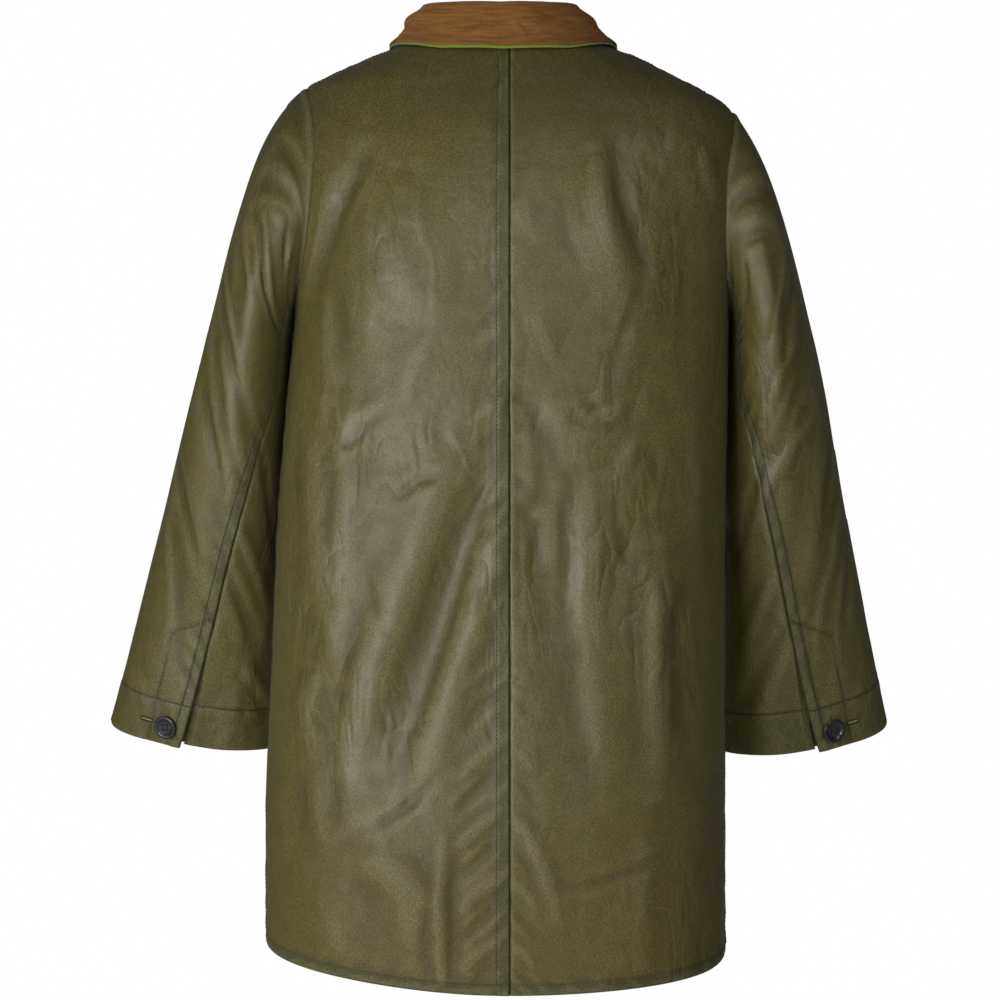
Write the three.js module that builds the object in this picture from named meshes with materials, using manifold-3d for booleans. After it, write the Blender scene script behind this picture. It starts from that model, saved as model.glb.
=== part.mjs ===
// Waxed cotton jacket, filled out as if worn, with nobody in it. Millimetres, +Z up.
// The wearer faces +Y and has their right hand at +X. The origin is the middle of the neckline,
// at the height of the side neck, where a wearer's shoulders carry the jacket.
// Angles go round the body: 0 is the centre back, 90 the right side, 180 the centre front.
import * as THREE from "three";
import Module from "manifold-3d";
import { mergeVertices } from "three/addons/utils/BufferGeometryUtils.js";

const cloth = 2; // wall of waxed cotton, the layers at a seam taken together
const seamGap = 0.3; // clearance between two sewn pieces
const right = 1;
const left = -1;

const neck = { sideHeight: 5, backHeight: 2, frontDrop: 82, straight: 0.35 };
const hem = { sideHeight: -802, backDrop: 30, frontDrop: 16, leftCurve: 1.4, rightCurve: 0.6 };
const backSeamShift = 8; // the centre back seam lies this far to the right of the collar's middle
const lap = { width: 26, easeWidth: 24, clearance: 0.8 }; // the left front buttons over the right one
const armhole = {
  bottom: -240,
  backReach: { [left]: 23, [right]: 17 }, // how many degrees round the body it reaches from the side
  frontReach: 24,
  top: { [left]: -41, [right]: -62 },
  capFall: { [left]: 24, [right]: 42 }, // how steeply the sleeve leaves the shoulder
};
const vent = { length: 115, lapWidth: 24, tuck: 12, lift: 3, liftWidth: 26, sink: 4, sinkWidth: 34 };
const button = { cuffDiameter: 22, frontDiameter: 25, thickness: 3.6, holeDiameter: 2.2, standOff: 0.6 };
const frontButtons = { first: -102, spacing: 118, count: 5 };
const cuffButton = { fromEdge: 15, fromCuff: 21 };
const panelGrid = { across: 12, sideRows: 16, armRows: 12, shoulderRows: 4 };
const sleeveGrid = { capRows: 8, armRows: 14, topAcross: 18, underAcross: 12 };
const ventGrid = { rows: 6, columns: 4 };

// The body at each level: half breadth on the left and right, depth to the back and front, and how
// square the section is (2 is an ellipse).
const torso = [
  { level: -870, left: 209, right: 202, back: 163, front: 166, square: 2.55 },
  { level: -700, left: 209, right: 201, back: 156, front: 160, square: 2.45 },
  { level: -560, left: 205, right: 201, back: 150, front: 154, square: 2.4 },
  { level: -420, left: 199, right: 202, back: 144, front: 148, square: 2.4 },
  { level: -320, left: 191, right: 204, back: 140, front: 145, square: 2.4 },
  { level: -240, left: 184, right: 206, back: 137, front: 141, square: 2.4 },
  { level: -190, left: 186, right: 211, back: 134, front: 134, square: 2.4 },
  { level: -142, left: 187, right: 216, back: 128, front: 122, square: 2.4 },
  { level: -95, left: 182, right: 217, back: 117, front: 103, square: 2.4 },
  { level: -62, left: 177, right: 208, back: 105, front: 87, square: 2.35 },
  { level: -41, left: 173, right: 178, back: 95, front: 77, square: 2.3 },
  { level: -31, left: 156, right: 158, back: 90, front: 73, square: 2.25 },
  { level: -13, left: 116, right: 123, back: 81, front: 67, square: 2.1 },
  { level: -5, left: 97, right: 103, back: 77, front: 64, square: 2 },
  { level: 6, left: 80, right: 80, back: 71, front: 61, square: 2 },
];

// Large soft folds of the back, each a trough (negative depth) or a ridge between two points.
const backFolds = [
  { x0: -8, z0: -372, x1: -104, z1: -640, width: 22, depth: -5 },
  { x0: 4, z0: -400, x1: -66, z1: -620, width: 20, depth: 4 },
  { x0: 20, z0: -330, x1: 66, z1: -640, width: 20, depth: -4.5 },
  { x0: 92, z0: -110, x1: 112, z1: -240, width: 26, depth: 4.5 },
  { x0: 138, z0: -470, x1: 140, z1: -640, width: 16, depth: 3.5 },
  { x0: -128, z0: -120, x1: -160, z1: -235, width: 16, depth: -4 },
  { x0: -110, z0: -720, x1: -52, z1: -830, width: 20, depth: 4 },
  { x0: -144, z0: -380, x1: -140, z1: -540, width: 15, depth: 3 },
];
const frontFolds = [
  { x0: -90, z0: -170, x1: -120, z1: -420, width: 24, depth: -4.5 },
  { x0: 96, z0: -180, x1: 118, z1: -440, width: 24, depth: -4.5 },
  { x0: -84, z0: -480, x1: -96, z1: -800, width: 24, depth: 4 },
  { x0: 88, z0: -460, x1: 104, z1: -790, width: 24, depth: 4 },
];

// Sleeve sections from the upper arm to the cuff: the outer and inner edge seen from behind, how
// far forward the middle lies, half the depth, and how much lower the back of the section is.
const sleeves = {
  [left]: [
    { along: 0, outerX: -254, outerZ: -221, innerX: -189, innerZ: -270, forward: 14, depth: 84, tilt: 4 },
    { along: 0.23, outerX: -280, outerZ: -318, innerX: -193, innerZ: -343, forward: 32, depth: 80, tilt: 6 },
    { along: 0.46, outerX: -304, outerZ: -409, innerX: -197, innerZ: -436, forward: 52, depth: 74, tilt: 9 },
    { along: 0.7, outerX: -330, outerZ: -501, innerX: -198, innerZ: -526, forward: 74, depth: 62, tilt: 12 },
    { along: 0.94, outerX: -355, outerZ: -595, innerX: -199, innerZ: -614, forward: 92, depth: 50, tilt: 15 },
    { along: 1, outerX: -361, outerZ: -615, innerX: -199, innerZ: -633, forward: 98, depth: 47, tilt: 16 },
  ],
  [right]: [
    { along: 0, outerX: 272, outerZ: -221, innerX: 207, innerZ: -270, forward: 14, depth: 86, tilt: 4 },
    { along: 0.23, outerX: 296, outerZ: -318, innerX: 204, innerZ: -343, forward: 32, depth: 82, tilt: 6 },
    { along: 0.46, outerX: 314, outerZ: -409, innerX: 201, innerZ: -436, forward: 52, depth: 76, tilt: 9 },
    { along: 0.7, outerX: 334, outerZ: -501, innerX: 199, innerZ: -527, forward: 74, depth: 64, tilt: 13 },
    { along: 0.94, outerX: 355, outerZ: -595, innerX: 198, innerZ: -617, forward: 94, depth: 50, tilt: 18 },
    { along: 1, outerX: 360, outerZ: -616, innerX: 198, innerZ: -636, forward: 98, depth: 47, tilt: 18.5 },
  ],
};
// Seams of the two-piece sleeve, as angles round the sleeve from its outer edge over the back.
const sleeveSeams = [
  { along: -1, back: 135, front: 225 },
  { along: -0.4, back: 148, front: 226 },
  { along: 0.05, back: 149, front: 228 },
  { along: 0.3, back: 121, front: 238 },
  { along: 0.5, back: 103, front: 248 },
  { along: 0.75, back: 91, front: 258 },
  { along: 1, back: 81, front: 264 },
];
// Large folds of each sleeve: angle and place along it at both ends.
const sleeveFolds = [
  { angle0: 66, along0: -0.5, angle1: 74, along1: 0.18, width: 15, depth: -4 },
  { angle0: 38, along0: -0.2, angle1: 92, along1: 0.55, width: 16, depth: -3.5 },
  { angle0: 30, along0: 0.3, angle1: 78, along1: 0.8, width: 15, depth: -3 },
  { angle0: 285, along0: -0.3, angle1: 262, along1: 0.4, width: 18, depth: -4 },
  { angle0: 300, along0: 0.3, angle1: 270, along1: 0.8, width: 16, depth: -3 },
];

// The collar from the centre back to a front end: the angle where it is sewn to the neckline, its
// fold line, and the edge of its fall.
const collar = [
  { share: 0, seam: 0, fold: 0, foldRadius: 65, foldZ: 28, edge: 0, edgeRadius: 92, edgeZ: -13 },
  { share: 0.2, seam: 38, fold: 38, foldRadius: 65, foldZ: 30, edge: 38, edgeRadius: 96, edgeZ: -10 },
  { share: 0.4, seam: 78, fold: 78, foldRadius: 66, foldZ: 33, edge: 76, edgeRadius: 100, edgeZ: -2 },
  { share: 0.6, seam: 112, fold: 112, foldRadius: 66, foldZ: 23, edge: 106, edgeRadius: 104, edgeZ: -4 },
  { share: 0.8, seam: 144, fold: 146, foldRadius: 72, foldZ: -14, edge: 130, edgeRadius: 120, edgeZ: -48 },
  { share: 1, seam: 173, fold: 173, foldRadius: 86, foldZ: -58, edge: 150, edgeRadius: 130, edgeZ: -117 },
];
const collarCloth = {
  thickness: 2.2,
  underThickness: 1.2,
  underShow: 1.2, // the under collar reaches this far past the corduroy
  seamLift: 1.2, // the stand starts this far above the neckline
  roll: 3.4, // radius of the fold
  lean: 3, // the fall hangs this much to the right
  fallSteps: 4,
  stations: 32,
};

const radians = THREE.MathUtils.degToRad;
const degrees = THREE.MathUtils.radToDeg;
const mix = THREE.MathUtils.lerp;
const point = (x, y, z) => new THREE.Vector3(x, y, z);
const smooth = (x, low, high) => THREE.MathUtils.smoothstep(x, low, high);

// Reads a column of a table at any place between its rows, as a smooth curve that never overshoots.
function column(table, place, name, at) {
  const last = table.length - 1;
  const x = table.map((row) => row[place]);
  const y = table.map((row) => row[name]);
  const clamped = THREE.MathUtils.clamp(at, x[0], x[last]);
  let i = 0;
  while (i < last - 1 && clamped > x[i + 1]) i += 1;
  const slope = (k) => (y[k + 1] - y[k]) / (x[k + 1] - x[k]);
  const tangent = (k) => {
    if (k === 0) return slope(0);
    if (k === last) return slope(last - 1);
    const before = slope(k - 1);
    const after = slope(k);
    return before * after <= 0 ? 0 : (2 * before * after) / (before + after);
  };
  const step = x[i + 1] - x[i];
  return hermite((clamped - x[i]) / step, y[i], tangent(i) * step, y[i + 1], tangent(i + 1) * step);
}

function hermite(t, start, startSlope, end, endSlope) {
  const t2 = t * t;
  const t3 = t2 * t;
  const atStart = (2 * t3 - 3 * t2 + 1) * start + (t3 - 2 * t2 + t) * startSlope;
  const atEnd = (3 * t2 - 2 * t3) * end + (t3 - t2) * endSlope;
  return atStart + atEnd;
}

function torsoSection(angle, z) {
  const turn = radians(angle);
  return {
    side: Math.sin(turn),
    depth: Math.cos(turn),
    halfBreadth: column(torso, "level", Math.sin(turn) < 0 ? "left" : "right", z),
    halfDepth: column(torso, "level", Math.cos(turn) > 0 ? "back" : "front", z),
    square: column(torso, "level", "square", z),
  };
}

function torsoRadius(angle, z) {
  const s = torsoSection(angle, z);
  const reach = Math.abs(s.side / s.halfBreadth) ** s.square + Math.abs(s.depth / s.halfDepth) ** s.square;
  return reach ** (-1 / s.square);
}

function torsoPoint(angle, z) {
  const r = torsoRadius(angle, z);
  const turn = radians(angle);
  return point(r * Math.sin(turn), -r * Math.cos(turn), z);
}

function torsoNormal(angle, z) {
  const step = 0.5;
  const round = torsoPoint(angle + step, z).sub(torsoPoint(angle - step, z));
  const up = torsoPoint(angle, z + step).sub(torsoPoint(angle, z - step));
  return round.cross(up).normalize();
}

const foldEnd = 0.35; // a fold keeps this share of its depth at both ends

// Height of one fold at a distance from the line between its ends.
function foldHeight(fold, x, z, x0, z0, x1, z1) {
  const length = Math.hypot(x1 - x0, z1 - z0);
  const share = ((x - x0) * (x1 - x0) + (z - z0) * (z1 - z0)) / length ** 2;
  const along = THREE.MathUtils.clamp(share, 0, 1);
  const away = Math.hypot(x - mix(x0, x1, along), z - mix(z0, z1, along));
  const taper = mix(foldEnd, 1, Math.sin(Math.PI * along));
  return fold.depth * taper * Math.exp(-((away / fold.width) ** 2));
}

function torsoFolds(angle, p) {
  const folds = Math.cos(radians(angle)) > 0 ? backFolds : frontFolds;
  const fade = smooth(Math.abs(Math.cos(radians(angle))), 0.12, 0.5);
  return fade * folds.reduce((sum, f) => sum + foldHeight(f, p.x, p.z, f.x0, f.z0, f.x1, f.z1), 0);
}

function torsoSurface(angle, z, sink = 0) {
  const p = torsoPoint(angle, z);
  return p.addScaledVector(torsoNormal(angle, z), torsoFolds(angle, p) - sink);
}

// Angle and height of the armhole's edge: turn 0 is the shoulder tip and 180 the underarm.
function armholePlace(side, back, turn) {
  const top = armhole.top[side];
  const z = mix(armhole.bottom, top, (1 + Math.cos(radians(turn))) / 2);
  const reach = Math.abs(Math.sin(radians(turn)));
  const angle = back ? 90 - armhole.backReach[side] * reach : 90 + armhole.frontReach * reach;
  return { angle: side * angle, z };
}

// Neckline on the torso form, from the centre back (0) past the side neck (90) to the centre front
// (180) and on along the top of the lap.
function neckPlace(turn) {
  const round = Math.abs(turn);
  const side = turn < 0 ? left : right;
  if (round <= 90) {
    return { angle: turn, z: mix(neck.backHeight, neck.sideHeight, Math.sin(radians(round)) ** 2) };
  }
  const share = Math.cos(radians(Math.min(round, 180))) ** 2;
  const z = neck.sideHeight - neck.frontDrop * mix(share ** 2, share, neck.straight);
  const x = torsoSection(side * 90, neck.sideHeight).halfBreadth * Math.sin(radians(round));
  const s = torsoSection(side * 135, z);
  const y = s.halfDepth * (1 - Math.abs(x / s.halfBreadth) ** s.square) ** (1 / s.square);
  return { angle: side * (180 - degrees(Math.atan2(x, y))), z };
}

// How far the lap's top edge runs on past the centre front.
const lapTurn = degrees(Math.asin(lap.width / torsoSection(90, neck.sideHeight).halfBreadth));

// A panel's rows at its centre: how far the underarm's row sags below the armhole, where the
// shoulder tip's row lies, and how long the front's top rows stay level.
const rowsAtCentre = { underarmSag: 45, backTipRise: 4, frontTip: 0.22, frontLevel: 3 };

// Rows of a body panel from hem to neck: where each row meets the side, the armhole or the
// shoulder, how high it is at the centre, and how long it stays level (1 is a plain cosine).
function panelRows(side, back) {
  const topZ = armhole.top[side];
  const centreHem = hem.sideHeight - (back ? hem.backDrop : hem.frontDrop);
  const centreNeck = back ? neck.backHeight : neck.sideHeight - neck.frontDrop;
  const centreUnderarm = armhole.bottom - rowsAtCentre.underarmSag;
  const frontTip = mix(centreNeck, centreUnderarm, rowsAtCentre.frontTip);
  const centreTip = back ? topZ + rowsAtCentre.backTipRise : frontTip;
  const backHemCurve = side === left ? hem.leftCurve : hem.rightCurve;
  const hemCurve = back ? backHemCurve : 1;
  const shoulderCurve = back ? 1 : rowsAtCentre.frontLevel;
  const rows = [];
  for (let i = 0; i <= panelGrid.sideRows; i += 1) {
    const share = i / panelGrid.sideRows;
    rows.push({
      angle: side * 90,
      z: mix(hem.sideHeight, armhole.bottom, share),
      centre: mix(centreHem, centreUnderarm, share),
      curve: mix(hemCurve, 1, share),
    });
  }
  for (let i = 1; i <= panelGrid.armRows; i += 1) {
    const share = i / panelGrid.armRows;
    const turn = 180 * (1 - share);
    const centre = mix(centreUnderarm, centreTip, share);
    rows.push({ ...armholePlace(side, back, turn), turn, centre, curve: mix(1, shoulderCurve, share) });
  }
  for (let i = 1; i <= panelGrid.shoulderRows; i += 1) {
    const share = i / panelGrid.shoulderRows;
    rows.push({
      angle: side * 90,
      z: mix(topZ, neck.sideHeight, share),
      centre: mix(centreTip, centreNeck, share),
      curve: shoulderCurve,
      high: share,
    });
  }
  return rows;
}

// One panel's grid of places, from the centre (0) to the side edge (1) in each row.
function panelPlaces(side, back, centreAngle, trim) {
  const rows = panelRows(side, back);
  return rows.map((row) =>
    Array.from({ length: panelGrid.across + 1 }, (_, c) => {
      const share = c / panelGrid.across;
      const away = 1 - Math.max(Math.cos(radians(90 * share)), 0) ** row.curve;
      const start = centreAngle(row.centre);
      let angle = mix(start, row.angle, share);
      let z = mix(row.centre, row.z, away);
      if (!back && row.high) {
        const top = neckPlace(side * mix(180 + lapTurn, 90, share));
        angle = mix(angle, top.angle, row.high ** 2);
        z = mix(z, top.z, row.high ** 2);
      }
      const turn = share === 1 ? row.turn : undefined;
      return { ...trim({ angle, z }, share), side, back, turn };
    }),
  );
}

// A closed wall between an outer and an inner grid of points.
function wall(outer, inner) {
  const rows = outer.length;
  const columns = outer[0].length;
  const points = [...outer.flat(), ...inner.flat()];
  const index = [];
  const out = (r, c) => r * columns + c;
  const inn = (r, c) => rows * columns + r * columns + c;
  const quad = (a, b, c, d) => {
    const shortFirst = points[a].distanceTo(points[c]) < points[b].distanceTo(points[d]);
    index.push(...(shortFirst ? [a, b, c, a, c, d] : [a, b, d, b, c, d]));
  };
  for (let r = 0; r < rows - 1; r += 1) {
    for (let c = 0; c < columns - 1; c += 1) {
      quad(out(r, c), out(r, c + 1), out(r + 1, c + 1), out(r + 1, c));
      quad(inn(r, c), inn(r + 1, c), inn(r + 1, c + 1), inn(r, c + 1));
    }
    quad(out(r, 0), out(r + 1, 0), inn(r + 1, 0), inn(r, 0));
    quad(out(r + 1, columns - 1), out(r, columns - 1), inn(r, columns - 1), inn(r + 1, columns - 1));
  }
  for (let c = 0; c < columns - 1; c += 1) {
    quad(out(0, c + 1), out(0, c), inn(0, c), inn(0, c + 1));
    quad(out(rows - 1, c), out(rows - 1, c + 1), inn(rows - 1, c + 1), inn(rows - 1, c));
  }
  return turnedOut(points, index);
}

// Makes a geometry whose faces point out, whichever way its grid ran.
function turnedOut(points, index) {
  let volume = 0;
  for (let i = 0; i < index.length; i += 3) {
    const [a, b, c] = index.slice(i, i + 3).map((k) => points[k]);
    volume += a.dot(b.clone().cross(c)) / 6;
  }
  if (volume < 0) {
    for (let i = 0; i < index.length; i += 3) {
      [index[i + 1], index[i + 2]] = [index[i + 2], index[i + 1]];
    }
  }
  const geometry = new THREE.BufferGeometry().setFromPoints(points);
  geometry.setIndex(index);
  return geometry;
}

function panelWall(places, sink) {
  const inward = (p) =>
    p.turn === undefined
      ? torsoNormal(p.angle, p.z).multiplyScalar(-cloth)
      : armholeInward(p.side, p.back ? p.turn : -p.turn);
  const outer = places.map((row) => row.map((p) => torsoSurface(p.angle, p.z, sink(p))));
  const inner = places.map((row, r) => row.map((p, c) => outer[r][c].clone().add(inward(p))));
  return wall(outer, inner);
}

// Body and sleeve share one mitre at the armhole: the step from the outer face to the inner one.
function armholeInward(side, angle) {
  const place = sleevePlace(side, angle);
  const outward = torsoNormal(place.angle, place.z);
  const mitre = sleeveNormal(side, -1, angle).add(outward).normalize();
  return mitre.multiplyScalar(-cloth / Math.max(mitre.dot(outward), 0.6));
}

// Draws a panel's side, armhole and shoulder edge back from the seam by half the gap.
function seamTrim(side, back) {
  return (place, share) => {
    if (share < 1) return place;
    const toBack = back ? -1 : 1;
    const halfGap = degrees(seamGap / 2 / torsoRadius(place.angle, place.z));
    return { angle: place.angle + side * toBack * halfGap, z: place.z };
  };
}

function backPanel(side) {
  const centreAngle = (z) => {
    const middle = degrees(Math.atan2(backSeamShift, column(torso, "level", "back", z)));
    return middle + side * degrees(seamGap / 2 / column(torso, "level", "back", z));
  };
  const trim = seamTrim(side, true);
  return panelWall(panelPlaces(side, true, centreAngle, trim), () => 0);
}

// The right front passes under the left one, so near the closure it sinks by its own thickness.
function frontPanel(side) {
  const reach = (z) => degrees(Math.atan2(lap.width, column(torso, "level", "front", z)));
  const centreAngle = (z) => side * (180 + reach(z));
  const under = (place) => {
    if (side === left) return 0;
    const x = torsoPoint(place.angle, place.z).x;
    return (cloth + lap.clearance) * (1 - smooth(x, lap.width + 2, lap.width + lap.easeWidth));
  };
  return panelWall(panelPlaces(side, false, centreAngle, seamTrim(side, false)), under);
}

function sleeveRing(side, along, angle) {
  const read = (name) => column(sleeves[side], "along", name, along);
  const turn = radians(angle);
  const outer = point(read("outerX"), read("forward"), read("outerZ"));
  const inner = point(read("innerX"), read("forward"), read("innerZ"));
  const half = outer.clone().sub(inner).multiplyScalar(0.5);
  const middle = outer.clone().add(inner).multiplyScalar(0.5);
  const backward = point(0, -Math.cos(radians(read("tilt"))), -Math.sin(radians(read("tilt"))));
  return middle
    .addScaledVector(half, Math.cos(turn))
    .addScaledVector(backward, read("depth") * Math.sin(turn));
}

// Place on the armhole where a column of the sleeve starts.
function sleevePlace(side, angle) {
  const round = THREE.MathUtils.euclideanModulo(angle, 360);
  return armholePlace(side, round <= 180, round <= 180 ? round : 360 - round);
}

// The way a column of the sleeve leaves the armhole: how steeply at the underarm, how far it turns
// to the back and front, and how stiffly it holds that way and the arm's.
const cap = { underarmFall: 66, spread: 0.25, startPull: 0.7, endPull: 1.1 };

function sleeveWay(side, angle) {
  const low = (1 - Math.cos(radians(angle))) / 2;
  const fall = radians(mix(armhole.capFall[side], cap.underarmFall, low));
  const spread = -cap.spread * Math.sin(radians(angle));
  return point(side * Math.cos(fall), spread, -Math.sin(fall)).normalize();
}

// The sleeve's top edge follows the straight steps of the panels' armhole edge, a seam's gap off.
function sleeveEdge(side, angle) {
  const step = 180 / panelGrid.armRows;
  const before = Math.floor(angle / step) * step;
  const [a, b] = [before, before + step].map((corner) => {
    const place = sleevePlace(side, corner);
    return torsoSurface(place.angle, place.z)
      .addScaledVector(sleeveWay(side, corner), seamGap)
      .addScaledVector(torsoNormal(place.angle, place.z), seamGap);
  });
  return a.lerp(b, (angle - before) / step);
}

// Sleeve form: along runs from -1 at the armhole to 0 at the upper arm and 1 at the cuff.
function sleevePoint(side, along, angle) {
  if (along >= 0) return sleeveRing(side, along, angle);
  const start = sleeveEdge(side, angle);
  const way = sleeveWay(side, angle);
  const end = sleeveRing(side, 0, angle);
  const span = start.distanceTo(end);
  const step = 0.02;
  const down = sleeveRing(side, step, angle).sub(end).normalize();
  way.multiplyScalar(span * cap.startPull);
  down.multiplyScalar(span * cap.endPull);
  const part = (axis) => hermite(along + 1, start[axis], way[axis], end[axis], down[axis]);
  return point(part("x"), part("y"), part("z"));
}

function sleeveNormal(side, along, angle) {
  const step = 0.01;
  const before = Math.max(along - step, -1);
  const after = Math.min(along + step, 1);
  const down = sleevePoint(side, after, angle).sub(sleevePoint(side, before, angle));
  const round = sleevePoint(side, along, angle + 1).sub(sleevePoint(side, along, angle - 1));
  return round.cross(down).normalize().multiplyScalar(side);
}

const sleeveGirth = 410; // round the sleeve at any section
const sleeveLength = { cap: 190, arm: 405 }; // along the outer edge
const aroundSleeve = (angle) => (angle / 360) * sleeveGirth;
const downSleeve = (along) => along * (along < 0 ? sleeveLength.cap : sleeveLength.arm);

function sleeveFoldHeight(along, angle) {
  const fade = smooth(along, -1, -0.7) * (1 - smooth(along, 0.8, 0.95));
  return sleeveFolds.reduce((sum, f) => {
    const near = f.angle0 + THREE.MathUtils.euclideanModulo(angle - f.angle0 + 180, 360) - 180;
    const ends = [aroundSleeve(f.angle0), downSleeve(f.along0), aroundSleeve(f.angle1), downSleeve(f.along1)];
    return sum + fade * foldHeight(f, aroundSleeve(near), downSleeve(along), ...ends);
  }, 0);
}

const backSeamAngle = (along) => column(sleeveSeams, "along", "back", along);
const frontSeamAngle = (along) => column(sleeveSeams, "along", "front", along);
const ventTop = 1 - vent.length / sleeveLength.arm;

// Half a seam's gap, as an angle round the sleeve, square to the way the seam runs.
function halfGapAngle(side, along, seamAngle) {
  const at = (place) => sleevePoint(side, place, seamAngle(place));
  const step = 0.02;
  const run = at(Math.min(along + step, 1)).sub(at(Math.max(along - step, -1))).normalize();
  const angle = seamAngle(along);
  const twoDegrees = sleevePoint(side, along, angle + 1).sub(sleevePoint(side, along, angle - 1));
  return seamGap / twoDegrees.cross(run).length();
}

// Rows along a sleeve, from the armhole through the cap to the cuff.
function sleeveRows() {
  const { capRows, armRows } = sleeveGrid;
  const overCap = Array.from({ length: capRows }, (_, i) => (i / capRows) ** 0.8 - 1);
  const downArm = Array.from({ length: armRows + 1 }, (_, i) => i / armRows);
  return [...overCap, ...downArm];
}

// The top sleeve's edge stands off at the vent, and the under sleeve's edge sinks.
function ventShift(along, angle, upper) {
  const open = smooth(along, ventTop, 1);
  const away = Math.abs(aroundSleeve(angle) - aroundSleeve(backSeamAngle(along)));
  if (upper) return vent.lift * open * (1 - smooth(away, 0, vent.liftWidth));
  return -vent.sink * open * (1 - smooth(away, 0, vent.sinkWidth));
}

function sleeveSurface(side, along, angle, shift = 0) {
  const lift = sleeveFoldHeight(along, angle) + shift;
  return sleevePoint(side, along, angle).addScaledVector(sleeveNormal(side, along, angle), lift);
}

// One piece of a sleeve between two seam angles, which may change along it. Its first row keeps
// to the armhole's own points.
function sleevePiece(side, columns, startAngle, endAngle, shift) {
  const places = sleeveRows().map((along) => {
    const first = startAngle(along) + halfGapAngle(side, along, startAngle);
    const last = endAngle(along) - halfGapAngle(side, along, endAngle);
    return Array.from({ length: columns + 1 }, (_, c) => ({
      along,
      angle: mix(first, last, c / columns),
      seam: mix(startAngle(along), endAngle(along), c / columns),
    }));
  });
  const inward = (p) => {
    if (p.along === -1) return armholeInward(side, p.seam);
    return sleeveNormal(side, p.along, p.seam).multiplyScalar(-cloth);
  };
  const place = (p) => sleeveSurface(side, p.along, p.angle, shift(p.along, p.angle));
  const outer = places.map((row) => row.map(place));
  const inner = places.map((row, r) => row.map((p, c) => outer[r][c].clone().add(inward(p))));
  return wall(outer, inner);
}

function topSleeve(side) {
  const start = (along) => frontSeamAngle(along) - 360;
  const shift = (along, angle) => ventShift(along, angle, true);
  return sleevePiece(side, sleeveGrid.topAcross, start, backSeamAngle, shift);
}

function underSleeve(side) {
  const shift = (along, angle) => ventShift(along, angle, false);
  return sleevePiece(side, sleeveGrid.underAcross, backSeamAngle, frontSeamAngle, shift);
}

// The strip behind the vent: it reaches under both edges of the sleeve's back seam.
function ventUnderlap(side) {
  const { rows, columns } = ventGrid;
  const lapAngle = (vent.lapWidth / sleeveGirth) * 360;
  const tuckAngle = (vent.tuck / sleeveGirth) * 360;
  const clear = cloth + 4 * seamGap;
  const grids = [0, cloth].map((more) =>
    Array.from({ length: rows + 1 }, (_, r) => {
      const along = mix(ventTop + 0.02, 0.995, r / rows);
      return Array.from({ length: columns + 1 }, (__, c) => {
        const angle = backSeamAngle(along) + mix(-lapAngle, tuckAngle, c / columns);
        const open = smooth(along, ventTop, 1);
        return sleeveSurface(side, along, angle, -clear - vent.sink * open - more);
      });
    }),
  );
  return wall(grids[0], grids[1]);
}

// The cuff button lies on the plane through the cloth round it.
function cuffButtonSeat(side) {
  const along = 1 - cuffButton.fromCuff / sleeveLength.arm;
  const angle = backSeamAngle(along) - (cuffButton.fromEdge / sleeveGirth) * 360;
  const across = (button.cuffDiameter / 2 / sleeveGirth) * 360;
  const down = button.cuffDiameter / 2 / sleeveLength.arm;
  const at = (u, v) => sleeveSurface(side, along + v, angle + u, ventShift(along + v, angle + u, true));
  const round = at(across, 0).sub(at(-across, 0));
  const outward = round.cross(at(0, down).sub(at(0, -down))).normalize().multiplyScalar(side);
  const around = [at(across, 0), at(-across, 0), at(0, down), at(0, -down), at(0, 0)];
  const height = Math.max(...around.map((p) => p.sub(at(0, 0)).dot(outward)));
  return { place: at(0, 0).addScaledVector(outward, height), outward };
}

function neckPoint(turn) {
  const place = neckPlace(turn);
  return torsoPoint(place.angle, place.z);
}

// Where the collar's stand starts, a little above the panels' edge and in line with their wall.
function neckSeam(turn) {
  const place = neckPlace(turn);
  const outward = torsoNormal(place.angle, place.z);
  const up = neckPoint(turn + 1).sub(neckPoint(turn - 1)).cross(outward).normalize();
  up.multiplyScalar(Math.sign(up.z));
  return neckPoint(turn).addScaledVector(outward, -cloth / 2).addScaledVector(up, collarCloth.seamLift);
}

// Moves a point of the collar out until it is clear of the body.
function clearOfBody(p, clearance) {
  const angle = degrees(Math.atan2(p.x, -p.y));
  const outward = torsoNormal(angle, p.z);
  const radial = point(p.x, p.y, 0).normalize();
  const distance = (Math.hypot(p.x, p.y) - torsoRadius(angle, p.z)) * outward.dot(radial);
  return p.addScaledVector(outward, Math.max(clearance - distance, 0));
}

// The middle of the collar's cloth at one station: up the stand, over the roll and down the fall.
function collarPath(side, share) {
  const read = (name) => column(collar, "share", name, share);
  const { roll, lean, fallSteps, thickness, underThickness } = collarCloth;
  const plan = (angle, radius, z) =>
    point(side * radius * Math.sin(radians(angle)), -radius * Math.cos(radians(angle)), z);
  const seam = neckSeam(side * read("seam"));
  const fold = plan(read("fold"), read("foldRadius"), read("foldZ"));
  const edge = plan(read("edge"), read("edgeRadius"), read("edgeZ")).add(point(lean, 0, 0));
  const outward = edge.clone().sub(seam).setZ(0).normalize();
  const standTop = fold.clone().add(point(0, 0, -roll));
  const crown = fold.clone().addScaledVector(outward, roll);
  const fallTop = fold.clone().addScaledVector(outward, 2 * roll).add(point(0, 0, -roll));
  const room = thickness / 2 + underThickness + 6 * seamGap;
  const fall = Array.from({ length: fallSteps }, (_, k) => {
    const down = (k + 1) / fallSteps;
    return clearOfBody(fallTop.clone().lerp(edge, down), room + down);
  });
  return [seam, seam.clone().lerp(standTop, 0.5), standTop, crown, fallTop, ...fall];
}

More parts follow.
